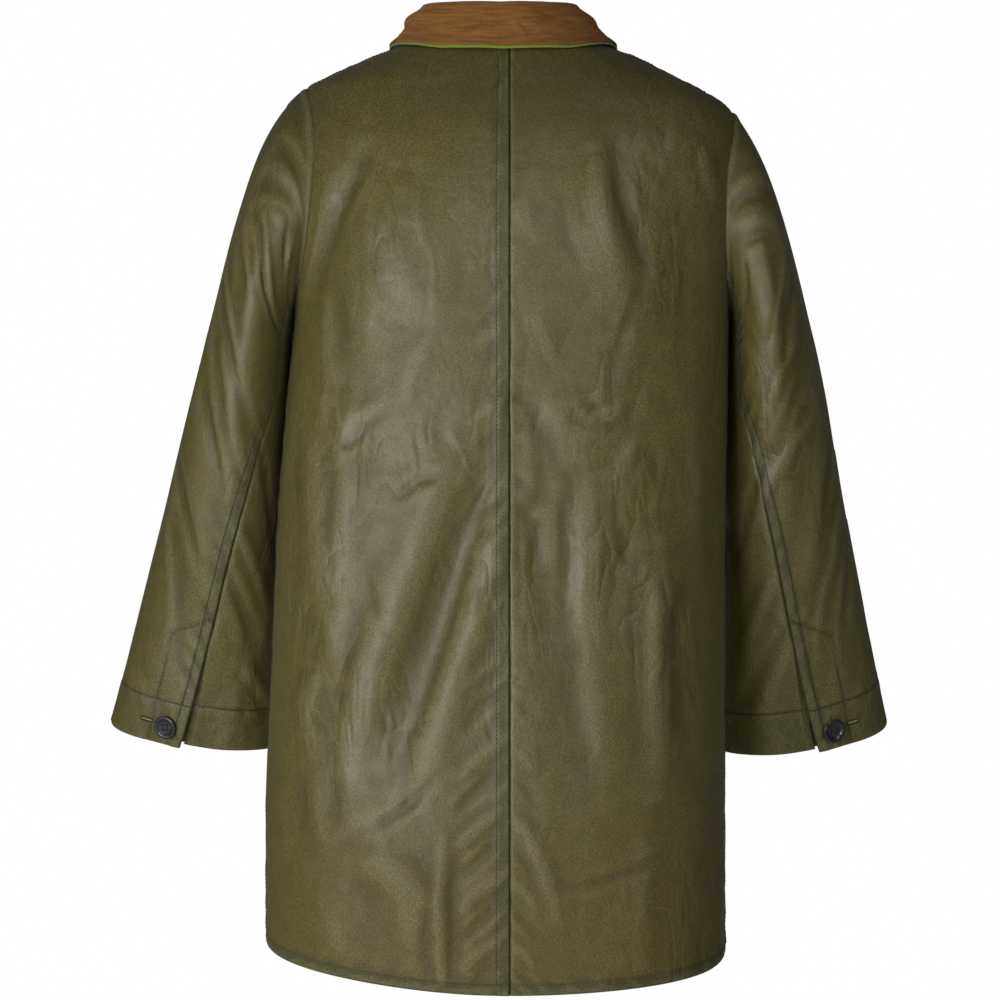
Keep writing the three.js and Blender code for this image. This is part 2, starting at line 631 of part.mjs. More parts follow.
// The collar's paths all round the neck, each point with the way its visible side faces.
function collarSections() {
  const { stations } = collarCloth;
  const paths = Array.from({ length: stations + 1 }, (_, i) => {
    const share = (2 * i) / stations - 1;
    return collarPath(share < 0 ? left : right, Math.abs(share));
  });
  return paths.map((path, i) =>
    path.map((p, k) => {
      const round = paths[Math.min(i + 1, stations)][k].clone().sub(paths[Math.max(i - 1, 0)][k]);
      const along = path[Math.min(k + 1, path.length - 1)].clone().sub(path[Math.max(k - 1, 0)]);
      return { p, visible: along.cross(round).normalize() };
    }),
  );
}

function collarLayer(sections, from, to) {
  const shift = (offset) => (station) => station.p.clone().addScaledVector(station.visible, offset);
  return wall(
    sections.map((path) => path.map(shift(from))),
    sections.map((path) => path.map(shift(to))),
  );
}

function cordCollar() {
  const half = collarCloth.thickness / 2;
  return collarLayer(collarSections(), half, -half);
}

// The under collar backs the fall and shows as a line below its edge.
function underCollar() {
  const near = collarCloth.thickness / 2 + seamGap;
  const sections = collarSections().map((path) => {
    const fall = path.slice(-collarCloth.fallSteps);
    const { p, visible } = fall[fall.length - 1];
    const past = p.clone().sub(fall[fall.length - 2].p).setLength(collarCloth.underShow);
    return [...fall, { p: p.clone().add(past), visible }];
  });
  return collarLayer(sections, -near, -near - collarCloth.underThickness);
}

const wasm = await Module();
wasm.setup();

function solidOf(geometry) {
  const bare = geometry.clone();
  bare.deleteAttribute("normal");
  bare.deleteAttribute("uv");
  const merged = mergeVertices(bare, 1e-4);
  return new wasm.Manifold(
    new wasm.Mesh({
      numProp: 3,
      vertProperties: merged.attributes.position.array,
      triVerts: new Uint32Array(merged.index.array),
    }),
  );
}

function geometryOf(solid) {
  const mesh = solid.getMesh();
  const geometry = new THREE.BufferGeometry();
  geometry.setAttribute("position", new THREE.BufferAttribute(new Float32Array(mesh.vertProperties), 3));
  geometry.setIndex(new THREE.BufferAttribute(new Uint32Array(mesh.triVerts), 1));
  return geometry;
}

// A turned button with a raised rim, a dished middle and four thread holes, facing +Z.
function buttonGeometry(diameter) {
  const r = diameter / 2;
  const t = button.thickness;
  const profile = [
    [0, 0],
    [r * 0.72, 0],
    [r, t * 0.45],
    [r, t * 0.72],
    [r * 0.88, t],
    [r * 0.7, t * 0.92],
    [r * 0.58, t * 0.62],
    [0, t * 0.58],
  ].map(([x, y]) => new THREE.Vector2(x, y));
  const body = new THREE.LatheGeometry(profile, 16).rotateX(Math.PI / 2);
  let solid = solidOf(body);
  for (const [x, y] of [[1, 1], [1, -1], [-1, 1], [-1, -1]]) {
    const hole = button.holeDiameter / 2;
    const drill = new THREE.CylinderGeometry(hole, hole, 3 * t, 5);
    drill.rotateX(Math.PI / 2).translate(x * r * 0.2, y * r * 0.2, t / 2);
    solid = solid.subtract(solidOf(drill));
  }
  return geometryOf(solid);
}

function waxedCloth() {
  return new THREE.MeshStandardMaterial({ color: 0x5c5a30, roughness: 0.48, metalness: 0 });
}

function corduroy() {
  return new THREE.MeshStandardMaterial({ color: 0x74481f, roughness: 0.9, metalness: 0 });
}

function limeCloth() {
  return new THREE.MeshStandardMaterial({ color: 0x7a8a24, roughness: 0.7, metalness: 0 });
}

function horn() {
  return new THREE.MeshStandardMaterial({ color: 0x14141c, roughness: 0.3, metalness: 0 });
}

const jacket = new THREE.Group();

function sew(name, geometry, material) {
  const mesh = new THREE.Mesh(geometry, material);
  mesh.name = name;
  jacket.add(mesh);
  return mesh;
}

function sewButton(name, diameter, place, outward) {
  const mesh = sew(name, buttonGeometry(diameter), horn());
  mesh.quaternion.setFromUnitVectors(point(0, 0, 1), outward);
  mesh.position.copy(place).addScaledVector(outward, button.standOff);
}

for (const side of [left, right]) {
  const name = side === left ? "left" : "right";
  sew(`back_${name}`, backPanel(side), waxedCloth());
  sew(`front_${name}`, frontPanel(side), waxedCloth());
  sew(`top_sleeve_${name}`, topSleeve(side), waxedCloth());
  sew(`under_sleeve_${name}`, underSleeve(side), waxedCloth());
  sew(`vent_underlap_${name}`, ventUnderlap(side), waxedCloth());

  const { place, outward } = cuffButtonSeat(side);
  sewButton(`cuff_button_${name}`, button.cuffDiameter, place, outward);
}

for (let i = 0; i < frontButtons.count; i += 1) {
  const z = frontButtons.first - i * frontButtons.spacing;
  sewButton(`front_button_${i + 1}`, button.frontDiameter, torsoSurface(180, z), torsoNormal(180, z));
}

sew("collar", cordCollar(), corduroy());
sew("under_collar", underCollar(), limeCloth());

export default jacket;
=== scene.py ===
import math

import bpy
import numpy as np
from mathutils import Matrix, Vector


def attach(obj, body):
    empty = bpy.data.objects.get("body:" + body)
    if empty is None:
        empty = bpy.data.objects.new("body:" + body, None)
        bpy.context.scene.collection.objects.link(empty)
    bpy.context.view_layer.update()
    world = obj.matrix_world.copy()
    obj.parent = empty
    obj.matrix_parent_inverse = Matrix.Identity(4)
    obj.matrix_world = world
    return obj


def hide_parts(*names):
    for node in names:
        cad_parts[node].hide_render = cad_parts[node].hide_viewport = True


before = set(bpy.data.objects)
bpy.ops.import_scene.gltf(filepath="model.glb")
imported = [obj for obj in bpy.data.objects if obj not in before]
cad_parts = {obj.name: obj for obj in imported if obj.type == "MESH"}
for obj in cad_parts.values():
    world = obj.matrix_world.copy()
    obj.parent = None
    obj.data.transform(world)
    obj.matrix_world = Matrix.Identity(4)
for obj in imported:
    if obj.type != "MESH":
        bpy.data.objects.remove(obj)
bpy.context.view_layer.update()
print("frame loaded:", len(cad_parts), "nodes")

# The forms are worked out in millimetres and made in metres. Angles go round the body from the
# centre back (0) past the right side (90) to the centre front (180).
mm = 0.001
left, right = -1, 1
sideNames = {left: "left", right: "right"}


def table(names, *rows):
    return {name: np.array([row[i] for row in rows], float) for i, name in enumerate(names.split())}


def mix(a, b, t):
    return a + (b - a) * t


def smooth(x, low, high):
    t = np.clip((x - low) / (high - low), 0, 1)
    return t * t * (3 - 2 * t)


def bell(distance, width):
    return np.exp(-((distance / width) ** 2))


def cosDegrees(angle):
    return np.cos(np.radians(angle))


def sinDegrees(angle):
    return np.sin(np.radians(angle))


def hermite(t, start, startSlope, end, endSlope):
    t2, t3 = t * t, t * t * t
    atStart = (2 * t3 - 3 * t2 + 1) * start + (t3 - 2 * t2 + t) * startSlope
    return atStart + (3 * t2 - 2 * t3) * end + (t3 - t2) * endSlope


# Reads a column of a table between its rows, as a smooth curve that never overshoots.
def column(rows, place, name, at):
    x, y = rows[place], rows[name]
    slope = np.diff(y) / np.diff(x)
    tangent = np.empty_like(y)
    tangent[0], tangent[-1] = slope[0], slope[-1]
    before, after = slope[:-1], slope[1:]
    same = before * after > 0
    tangent[1:-1] = np.where(same, 2 * before * after / np.where(same, before + after, 1), 0)
    at = np.clip(at, x[0], x[-1])
    i = np.clip(np.searchsorted(x, at) - 1, 0, len(x) - 2)
    step = x[i + 1] - x[i]
    return hermite((at - x[i]) / step, y[i], tangent[i] * step, y[i + 1], tangent[i + 1] * step)


# Smooth noise from -1 to 1 over a plane, the same on each run.
noiseLattice = np.random.default_rng(11).uniform(-1, 1, (64, 64))


def softNoise(x, y, seed):
    x, y = np.broadcast_arrays(x + 13.7 * seed, y + 7.3 * seed)
    i, j = np.floor(x).astype(int), np.floor(y).astype(int)
    s, t = smooth(x - i, 0, 1), smooth(y - j, 0, 1)

    def corner(a, b):
        return noiseLattice[(i + a) % 64, (j + b) % 64]

    return mix(mix(corner(0, 0), corner(1, 0), s), mix(corner(0, 1), corner(1, 1), s), t)


def unit(v):
    return v / np.maximum(np.linalg.norm(v, axis=-1, keepdims=True), 1e-9)


def points(x, y, z):
    return np.stack(np.broadcast_arrays(x, y, z), axis=-1)


# The body
jacket = {
    "neckSide": 5, "neckBack": 2, "neckFrontDrop": 82, "neckStraight": 0.35,
    "hemSide": -802, "hemBackDrop": 30, "hemFrontDrop": 16,
    "hemCurve": {left: 1.4, right: 0.6},
    "backSeam": 8,            # the centre back seam lies this far to the right
    "lap": 26, "lapEase": 24, "lapSink": 2.8,
    "underarm": -240, "backReach": {left: 23, right: 17}, "frontReach": 24,
    "shoulderTip": {left: -41, right: -62},
    "capFall": {left: 24, right: 42}, "underarmFall": 66, "capSpread": 0.25,
    "underarmSag": 45, "backTipRise": 4, "frontTip": 0.22, "frontLevel": 3,
}
torso = table(
    "level left right back front square",
    (-870, 209, 202, 163, 166, 2.55),
    (-700, 209, 201, 156, 160, 2.45),
    (-560, 205, 201, 150, 154, 2.4),
    (-420, 199, 202, 144, 148, 2.4),
    (-320, 191, 204, 140, 145, 2.4),
    (-240, 184, 206, 137, 141, 2.4),
    (-190, 186, 211, 134, 134, 2.4),
    (-142, 187, 216, 128, 122, 2.4),
    (-95, 182, 217, 117, 103, 2.4),
    (-62, 177, 208, 105, 87, 2.35),
    (-41, 173, 178, 95, 77, 2.3),
    (-31, 156, 158, 90, 73, 2.25),
    (-13, 116, 123, 81, 67, 2.1),
    (-5, 97, 103, 77, 64, 2),
    (6, 80, 80, 71, 61, 2),
)

# Folds and creases: both ends across and up, width, height (negative is a trough) and how far the
# middle bows to one side.
backLargeFolds = (
    (-8, -372, -104, -640, 24, -8.5, 0),
    (4, -400, -62, -640, 18, 4.6, 0),
    (-50, -392, -134, -640, 19, 5.5, 0),
    (20, -330, 64, -660, 20, -6, 0),
    (80, -110, 106, -260, 24, 9, 0),
    (138, -450, 136, -660, 16, 5, 0),
    (-128, -120, -160, -235, 16, -4, 0),
    (-112, -690, -62, -790, 22, 6, 0),
    (-144, -330, -140, -560, 15, 4.5, 0),
)
backCreases = (
    # upper left
    (-115, -112, -165, -232, 9, -2.6, 8),
    (-138, -222, -139, -284, 8, -1.3, 0),
    (-150, -240, -146, -360, 12, 1.8, 0),
    (-32, -187, -36, -238, 9, -1.2, 0),
    (-43, -318, -54, -369, 9, -1.3, 3),
    (-100, -180, -112, -300, 16, 1.8, 5),
    (-88, -407, -72, -394, 5, -1.5, 0),
    (-72, -394, -50, -389, 5, -1.4, 0),
    (-118, -474, -95, -521, 6, -1.4, 2),
    (-134, -364, -120, -352, 5, -1.6, 0),
    (-134, -364, -138, -352, 4, -1.2, 0),
    (-128, -340, -96, -318, 7, 1.2, 2),
    (-74, -140, -66, -206, 10, 1.4, 0),
    (-58, -262, -84, -330, 11, 1.4, 4),
    # left side
    (-142, -318, -142, -500, 9, -2.4, 4),
    (-164, -345, -160, -500, 11, 2.4, 0),
    (-160, -560, -168, -610, 10, 2.2, 3),
    (-174, -638, -160, -728, 14, -2.4, 5),
    (-150, -600, -140, -700, 12, -1.6, 0),
    # the long trough from the centre seam, and the ridge beside it
    (-9, -378, -92, -640, 14, -4, -9),
    (-14, -426, -60, -590, 15, 2.6, -6),
    (-96, -470, -118, -600, 15, 2.4, 5),
    (-6, -392, -24, -420, 4, -1.6, 0),
    # lower left
    (-100, -686, -58, -648, 5, -1.8, 3),
    (-82, -610, -70, -690, 8, -1.5, 4),
    (-122, -722, -50, -764, 13, 2.6, -9),
    (-49, -700, -48, -826, 5, 2.8, 2),
    (-38, -712, -41, -826, 7, -2, 0),
    (-64, -765, -62, -826, 9, -1.4, 0),
    (-150, -740, -130, -822, 14, 1.4, 4),
    # upper right
    (20, -142, 26, -186, 9, 2.2, 3),
    (80, -112, 104, -212, 11, 2.6, 5),
    (100, -98, 122, -200, 10, -3, 6),
    (178, -104, 188, -150, 8, 2, 0),
    (50, -150, 66, -206, 7, -1.4, 3),
    (150, -130, 158, -260, 14, -2, -6),
    (70, -317, 86, -339, 6, -1.4, 2),
    (86, -339, 104, -330, 5, 1.1, 0),
    (12, -392, 23, -398, 5, -1.2, 0),
    (26, -420, 40, -424, 8, 1.4, 0),
    (120, -356, 98, -400, 7, 1.2, 3),
    (96, -420, 116, -470, 8, -1.2, 3),
    (30, -240, 52, -300, 10, 1.3, 4),
    # right, the bent trough
    (18, -328, 54, -384, 12, -2.6, -4),
    (60, -392, 62, -540, 10, -3.2, 3),
    (62, -540, 78, -660, 10, -1.8, 3),
    (44, -400, 48, -480, 10, 2, 3),
    (76, -380, 80, -520, 14, 2, 2),
    (22, -344, 32, -420, 8, 2, 3),
    (116, -232, 94, -324, 5, -0.8, 4),
    (66, -346, 104, -344, 5, -0.8, 3),
    (134, -476, 134, -606, 9, 2, 3),
    (148, -480, 150, -600, 9, -1.6, 0),
    (43, -740, 138, -716, 5, -0.8, 6),
    (14, -684, 48, -768, 8, 1.8, -5),
    (150, -475, 137, -522, 8, 1.4, 0),
    (170, -300, 176, -470, 14, 1.8, 4),
    (120, -640, 116, -800, 16, 1.6, -4),
)
# Short diagonal pulls at the centre back seam: height on the seam, length, drop and strength.
seamPulls = (
    (-196, 14, 12, 0.5), (-262, 18, 14, 0.6), (-322, 20, 20, 0.8), (-352, 16, 12, -0.7),
    (-405, 24, 26, -1), (-436, 20, 22, 0.9), (-480, 16, 14, -0.7), (-545, 22, 20, 0.8),
    (-572, 26, 30, -1), (-612, 30, 34, 1), (-640, 34, 36, -1.3), (-672, 36, 38, 1.3),
    (-700, 40, 42, -1.4), (-726, 38, 42, 1.5), (-752, 36, 40, -1.4), (-778, 32, 36, 1.3),
    (-802, 24, 26, -1),
)
frontLargeFolds = (
    (-90, -170, -120, -420, 24, -4.5, 0),
    (96, -180, 118, -440, 24, -4.5, 0),
    (-84, -480, -96, -800, 24, 4, 0),
    (88, -460, 104, -790, 24, 4, 0),
)
frontCreases = (
    (-120, -100, -160, -232, 13, -2.4, -6),
    (122, -118, 166, -236, 13, -2.4, 6),
    (-66, -150, -58, -260, 15, 2, 4),
    (70, -160, 60, -280, 15, 2, -4),
    (-148, -330, -142, -500, 12, 2.2, 3),
    (150, -320, 146, -490, 11, 2.2, -3),
    (-48, -300, -60, -430, 9, -2, 5),
    (52, -340, 68, -470, 9, -2, -5),
    (-28, -236, -70, -262, 6, 1.2, 2),
    (28, -352, 66, -384, 6, 1.2, -2),
    (-30, -470, -62, -520, 6, -1.3, 3),
    (30, -588, 70, -640, 7, -1.4, -3),
    (-120, -560, -112, -700, 12, -2.2, 4),
    (128, -540, 122, -720, 13, -2.2, -4),
    (-56, -640, -62, -800, 8, 1.8, 3),
    (50, -650, 62, -800, 8, -1.8, 3),
    (-150, -660, -156, -790, 14, 2, 0),
    (156, -640, 160, -780, 14, 2, 0),
    (-20, -118, -44, -150, 5, -1, 0),
    (22, -118, 44, -146, 5, -1, 0),
)
foldEnd = 0.35                # a fold keeps this share of its height at both ends


# Across a fold: soft for the hang of the cloth, with a sharp crown for a crease in waxed cloth.
def crisp(distance, width):
    return np.exp(1 - np.sqrt(1 + (2.3 * distance / width) ** 2))


def foldSum(folds, x, z, profile=bell):
    total = np.zeros(np.broadcast(x, z).shape)
    for x0, z0, x1, z1, width, height, bow in folds:
        dx, dz = x1 - x0, z1 - z0
        length = math.hypot(dx, dz)
        share = ((x - x0) * dx + (z - z0) * dz) / length**2
        inside = np.clip(share, 0, 1)
        across = ((x - x0) * dz - (z - z0) * dx) / length - bow * 4 * inside * (1 - inside)
        past = (share - inside) * length
        taper = mix(foldEnd, 1, np.sin(np.pi * inside))
        total += height * taper * profile(np.hypot(across, past), width)
    return total


def torsoRadius(angle, z):
    side, depth = sinDegrees(angle), cosDegrees(angle)
    breadth = np.where(side < 0, column(torso, "level", "left", z), column(torso, "level", "right", z))
    deep = np.where(depth > 0, column(torso, "level", "back", z), column(torso, "level", "front", z))
    square = column(torso, "level", "square", z)
    return (np.abs(side / breadth) ** square + np.abs(depth / deep) ** square) ** (-1 / square)


def torsoPoint(angle, z):
    r = torsoRadius(angle, z)
    return points(r * sinDegrees(angle), -r * cosDegrees(angle), z)


def torsoNormal(angle, z):
    step = 0.5
    around = torsoPoint(angle + step, z) - torsoPoint(angle - step, z)
    up = torsoPoint(angle, z + step) - torsoPoint(angle, z - step)
    return unit(np.cross(around, up))


def armholePlace(side, back, turn):
    z = mix(jacket["underarm"], jacket["shoulderTip"][side], (1 + cosDegrees(turn)) / 2)
    reach = np.abs(sinDegrees(turn))
    backAngle = 90 - jacket["backReach"][side] * reach
    return side * np.where(back, backAngle, 90 + jacket["frontReach"] * reach), z


def neckPlace(turn):
    around, side = np.abs(turn), np.where(turn < 0, left, right)
    backZ = mix(jacket["neckBack"], jacket["neckSide"], sinDegrees(np.minimum(around, 90)) ** 2)
    share = cosDegrees(np.clip(around, 90, 180)) ** 2
    drop = jacket["neckFrontDrop"] * mix(share**2, share, jacket["neckStraight"])
    frontZ = jacket["neckSide"] - drop
    x = column(torso, "level", "right", jacket["neckSide"]) * sinDegrees(around)
    breadth = np.where(side < 0, column(torso, "level", "left", frontZ),
                       column(torso, "level", "right", frontZ))
    square = column(torso, "level", "square", frontZ)
    deep = column(torso, "level", "front", frontZ)
    y = deep * np.maximum(1 - np.abs(x / breadth) ** square, 0) ** (1 / square)
    frontAngle = side * (180 - np.degrees(np.arctan2(x, y)))
    isBack = around <= 90
    return np.where(isBack, turn, frontAngle), np.where(isBack, backZ, frontZ)


neckHalfBreadth = float(column(torso, "level", "right", jacket["neckSide"]))
lapTurn = math.degrees(math.asin(jacket["lap"] / neckHalfBreadth))


# Place of a panel's cloth: share runs from the centre (0) to the side (1), and level from the hem
# (0) past the underarm (1) and the shoulder tip (2) to the neck (3).
def panelPlace(side, back, share, level):
    share, level = np.broadcast_arrays(share, level)
    low, arm, high = (np.clip(level - k, 0, 1) for k in range(3))
    tip, neckSide = jacket["shoulderTip"][side], jacket["neckSide"]
    centreHem = jacket["hemSide"] - jacket["hemBackDrop" if back else "hemFrontDrop"]
    centreNeck = jacket["neckBack"] if back else neckSide - jacket["neckFrontDrop"]
    centreUnderarm = jacket["underarm"] - jacket["underarmSag"]
    frontTip = mix(centreNeck, centreUnderarm, jacket["frontTip"])
    centreTip = tip + jacket["backTipRise"] if back else frontTip
    centre = mix(centreHem, centreUnderarm, low) + (centreTip - centreUnderarm) * arm
    centre = centre + (centreNeck - centreTip) * high
    armAngle, armZ = armholePlace(side, back, 180 * (1 - arm))
    edgeZ = np.where(level <= 1, mix(jacket["hemSide"], jacket["underarm"], low), armZ)
    edgeZ = np.where(level <= 2, edgeZ, mix(tip, neckSide, high))
    edgeAngle = np.where((level > 1) & (level < 2), armAngle, side * 90)
    hemCurve = jacket["hemCurve"][side] if back else 1
    topCurve = 1 if back else jacket["frontLevel"]
    curve = np.where(level <= 1, mix(hemCurve, 1, low), mix(1, topCurve, arm))
    away = 1 - np.maximum(cosDegrees(90 * share), 0) ** curve
    if back:
        start = np.degrees(np.arctan2(jacket["backSeam"], column(torso, "level", "back", centre)))
    else:
        start = 180 + np.degrees(np.arctan2(jacket["lap"], column(torso, "level", "front", centre)))
        start = side * start
    angle, z = mix(start, edgeAngle, share), mix(centre, edgeZ, away)
    if not back:
        topAngle, topZ = neckPlace(side * mix(180 + lapTurn, 90, share))
        angle, z = mix(angle, topAngle, high**2), mix(z, topZ, high**2)
    return angle, z


# Sewing and finish of the body cloth
bodyCloth = {
    "thickness": 1.1, "turnedThickness": 1.3,
    "strip": 13.5, "stripHeight": 0.9, "stripEase": 2.2,     # felled seams
    "underReach": 5, "underSink": 1.7, "underEase": 3,     # the edge that passes under a seam
    "edgeRoll": 0.9, "edgeRollWidth": 1.8,
    "hemBand": 9, "hemHeight": 0.5, "frontStitch": 7,
    "stitchDip": 0.55, "stitchDipWidth": 1.5,
    "puckerHeight": 1.1, "puckerWave": 9.5, "puckerReach": 10, "puckerSlant": 0.8,
    "wander": 1.1, "wanderAcross": 46, "wanderAlong": 150,
    "crumple": 0.3, "crumpleAcross": 15, "crumpleAlong": 26,
    "spacing": 3.6,
}
edgeSteps = (0, 0.5, 1.1, 1.9, 3, 4.5, 6.5, 8.5, 9.8, 10.6, 11.4, 12.4, 14.4, 17, 20)
hemSteps = (0, 0.5, 1.1, 1.9, 3, 5, 7.5, 10, 12.5, 15, 16.6, 17.5, 18.2, 19, 20.2, 22)
sideLength = 552


def panelWidth(side, back, level):
    share = np.linspace(0, 1, 41)[None, :]
    p = torsoPoint(*panelPlace(side, back, share, level[:, None]))
    return np.linalg.norm(np.diff(p, axis=1), axis=2).sum(axis=1)


# Steps across a piece, close together at both edges and even between them.
def evenSteps(width, spacing, startSteps, endSteps, typical):
    inner = int((typical - startSteps[-1] - endSteps[-1]) / spacing)
    start = np.broadcast_to(np.array(startSteps, float), (len(width), len(startSteps)))
    end = width[:, None] - np.array(endSteps, float)[::-1]
    middle = mix(start[:, -1:], end[:, :1], np.linspace(0, 1, inner + 2)[1:-1])
    return np.concatenate([start, middle, end], axis=1)


def seamPucker(along, away, seed):
    c = bodyCloth
    wave = softNoise((along + c["puckerSlant"] * away) / c["puckerWave"], away / 26, seed)
    strength = 0.55 + 0.45 * softNoise(along / 70, 0.5, seed + 3)
    return c["puckerHeight"] * wave * strength * np.exp(-np.abs(away) / c["puckerReach"])


def stitchDip(distance):
    return -bodyCloth["stitchDip"] * bell(distance, bodyCloth["stitchDipWidth"])


def edgeRoll(distance):
    short = np.clip(1 - distance / bodyCloth["edgeRollWidth"], 0, 1)
    return -bodyCloth["edgeRoll"] * short**2


# The edge on top of a felled seam: a raised strip that rolls down at the seam, with its stitching.
def felledStrip(distance, along, seed, width=bodyCloth["strip"]):
    c = bodyCloth
    strip = c["stripHeight"] * (1 - smooth(distance, width, width + c["stripEase"]))
    return strip + edgeRoll(distance) + stitchDip(distance - width) + seamPucker(
        along, distance - width, seed)


# The edge below a felled seam: it sinks under the other piece.
def tuckedEdge(distance, along, seed):
    c = bodyCloth
    sink = -c["underSink"] * (1 - smooth(distance, -0.5, c["underEase"]))
    return sink + 0.7 * seamPucker(along, distance, seed)


def hemFinish(distance, along, seed):
    c = bodyCloth
    band = c["hemHeight"] * (1 - smooth(distance, c["hemBand"], c["hemBand"] + c["stripEase"]))
    return band + edgeRoll(distance) + stitchDip(distance - c["hemBand"]) + seamPucker(
        along, distance - c["hemBand"], seed)


def pullFolds():
    rows = []
    for z, length, drop, strength in seamPulls:
        rows.append((4, z, 4 - length - 8, z - drop, 5.5, strength, 2))
        rows.append((12, z - 9, 12 + length * 0.5, z - 9 - drop * 0.6, 4.5, 0.6 * strength, -2))
    return tuple(rows)


pulls = pullFolds()


def clothWander(across, along, seed):
    c = bodyCloth
    slow = c["wander"] * softNoise(across / c["wanderAcross"], along / c["wanderAlong"], seed)
    small = c["crumple"] * softNoise(across / c["crumpleAcross"], along / c["crumpleAlong"], seed + 5)
    return slow + small * (0.5 + 0.5 * softNoise(across / 90, along / 90, seed + 9))


# The dark line along seams and stitching: painted shade of the gap where one edge laps over the other, with
# the wax and dirt that gather there.
def seamShadeLine(distance, at, width=0.75):
    return bell(distance - at, width)


# Height of a body panel's cloth over its form, and masks of its doubled cloth and of its seams' dark lines
# (painted shade and dirt).
def panelHeight(side, back, share, level, width, angle, z):
    x = torsoPoint(angle, z)[..., 0]
    fade = smooth(np.abs(cosDegrees(angle)), 0.12, 0.5)
    large, small = (backLargeFolds, backCreases + pulls) if back else (frontLargeFolds, frontCreases)
    calm = smooth(level, 0, 0.03) * (1 - smooth(level, 2.7, 3))
    folds = fade * foldSum(large, x, z) + fade * calm * foldSum(small, x, z)
    folds = folds + calm * clothWander(x + 3 * side, z, 2 if back else 4)
    fromCentre, fromSide = share * width, (1 - share) * width
    fromHem = level * sideLength
    seed = 20 + side + (0 if back else 5)
    sewn = hemFinish(fromHem, fromCentre, seed)
    atArm = smooth(level, 1, 1.04) * (1 - smooth(level, 1.93, 1.99))
    atSide = felledStrip(fromSide, level * sideLength, seed + 2) if back else tuckedEdge(
        fromSide, level * sideLength, seed + 2)
    armEdge = 0.4 * edgeRoll(fromSide) + 0.7 * seamPucker(level * 215, fromSide, seed + 4)
    atSide = mix(atSide, armEdge, atArm)
    if back:
        atCentre = felledStrip(fromCentre, z, 31) if side == left else tuckedEdge(fromCentre, z, 31)
    else:
        stitched = bodyCloth["frontStitch"]
        atCentre = edgeRoll(fromCentre) + stitchDip(fromCentre - stitched) + 0.6 * seamPucker(
            z, fromCentre - stitched, 37)
    band, edge = bodyCloth["hemBand"], bodyCloth["strip"]
    doubled = 1 - smooth(fromHem, band, band + 1.5)
    # Seam mask: painted shade along the lapped edges and stitching, with dirt.
    seam = np.maximum(seamShadeLine(fromHem, band), (1 - 0.6 * atArm) * seamShadeLine(fromSide, 0))
    if back:
        seam = np.maximum(seam, (1 - atArm) * seamShadeLine(fromSide, edge))
        doubled = np.maximum(doubled, (1 - atArm) * (1 - smooth(fromSide, edge, edge + 1.5)))
    if side == left:
        line = edge if back else bodyCloth["frontStitch"]
        seam = np.maximum(seam, seamShadeLine(fromCentre, line))
        doubled = np.maximum(doubled, 1 - smooth(fromCentre, line, line + 1.5))
    if back:
        seam = np.maximum(seam, seamShadeLine(fromCentre, 0, 1.3))
    lapped = 0
    if not back and side == right:
        start, end = jacket["lap"] + 2, jacket["lap"] + jacket["lapEase"]
        lapped = jacket["lapSink"] * (1 - smooth(x, start, end))
    return folds + sewn + atSide + atCentre - lapped, {"doubled": doubled, "seam": seam}


def panelGrid(side, back):
    c = bodyCloth
    low = np.concatenate([np.array(hemSteps), np.linspace(22, sideLength, 162)[1:]]) / sideLength
    arm = 1 + np.linspace(0, 1, 66)[1:]
    high = 2 + np.linspace(0, 1, 30)[1:]
    level = np.concatenate([low, arm, high])
    width = panelWidth(side, back, level)
    distance = evenSteps(width, c["spacing"], edgeSteps, edgeSteps, 300)
    reach = c["underReach"]
    if back and side == right:
        distance = np.concatenate([np.full((len(width), 1), -reach), distance], axis=1)
    if not back:
        under = width[:, None] + np.where((level < 1.02) | (level > 1.98), reach, 0.02)[:, None]
        distance = np.concatenate([distance, under], axis=1)
    return distance / width[:, None], level[:, None], width[:, None]


def panelSurface(side, back, share, level, width):
    angle, z = panelPlace(side, back, share, level)
    height, masks = panelHeight(side, back, share, level, width, angle, z)
    normal = torsoNormal(angle, z)
    return torsoPoint(angle, z) + normal * height[..., None], normal, height, masks


# How far each point stands above its neighbours, from -1 in a crease to 1 on a ridge.
def ridgeMask(height, reach=3, strong=0.35):
    padded = np.pad(height, reach, mode="edge")
    rows, columns = height.shape
    near = [padded[reach + a:reach + a + rows, reach + b:reach + b + columns]
            for a, b in ((-reach, 0), (reach, 0), (0, -reach), (0, reach))]
    return np.clip((height - sum(near) / 4) / strong, -1, 1)


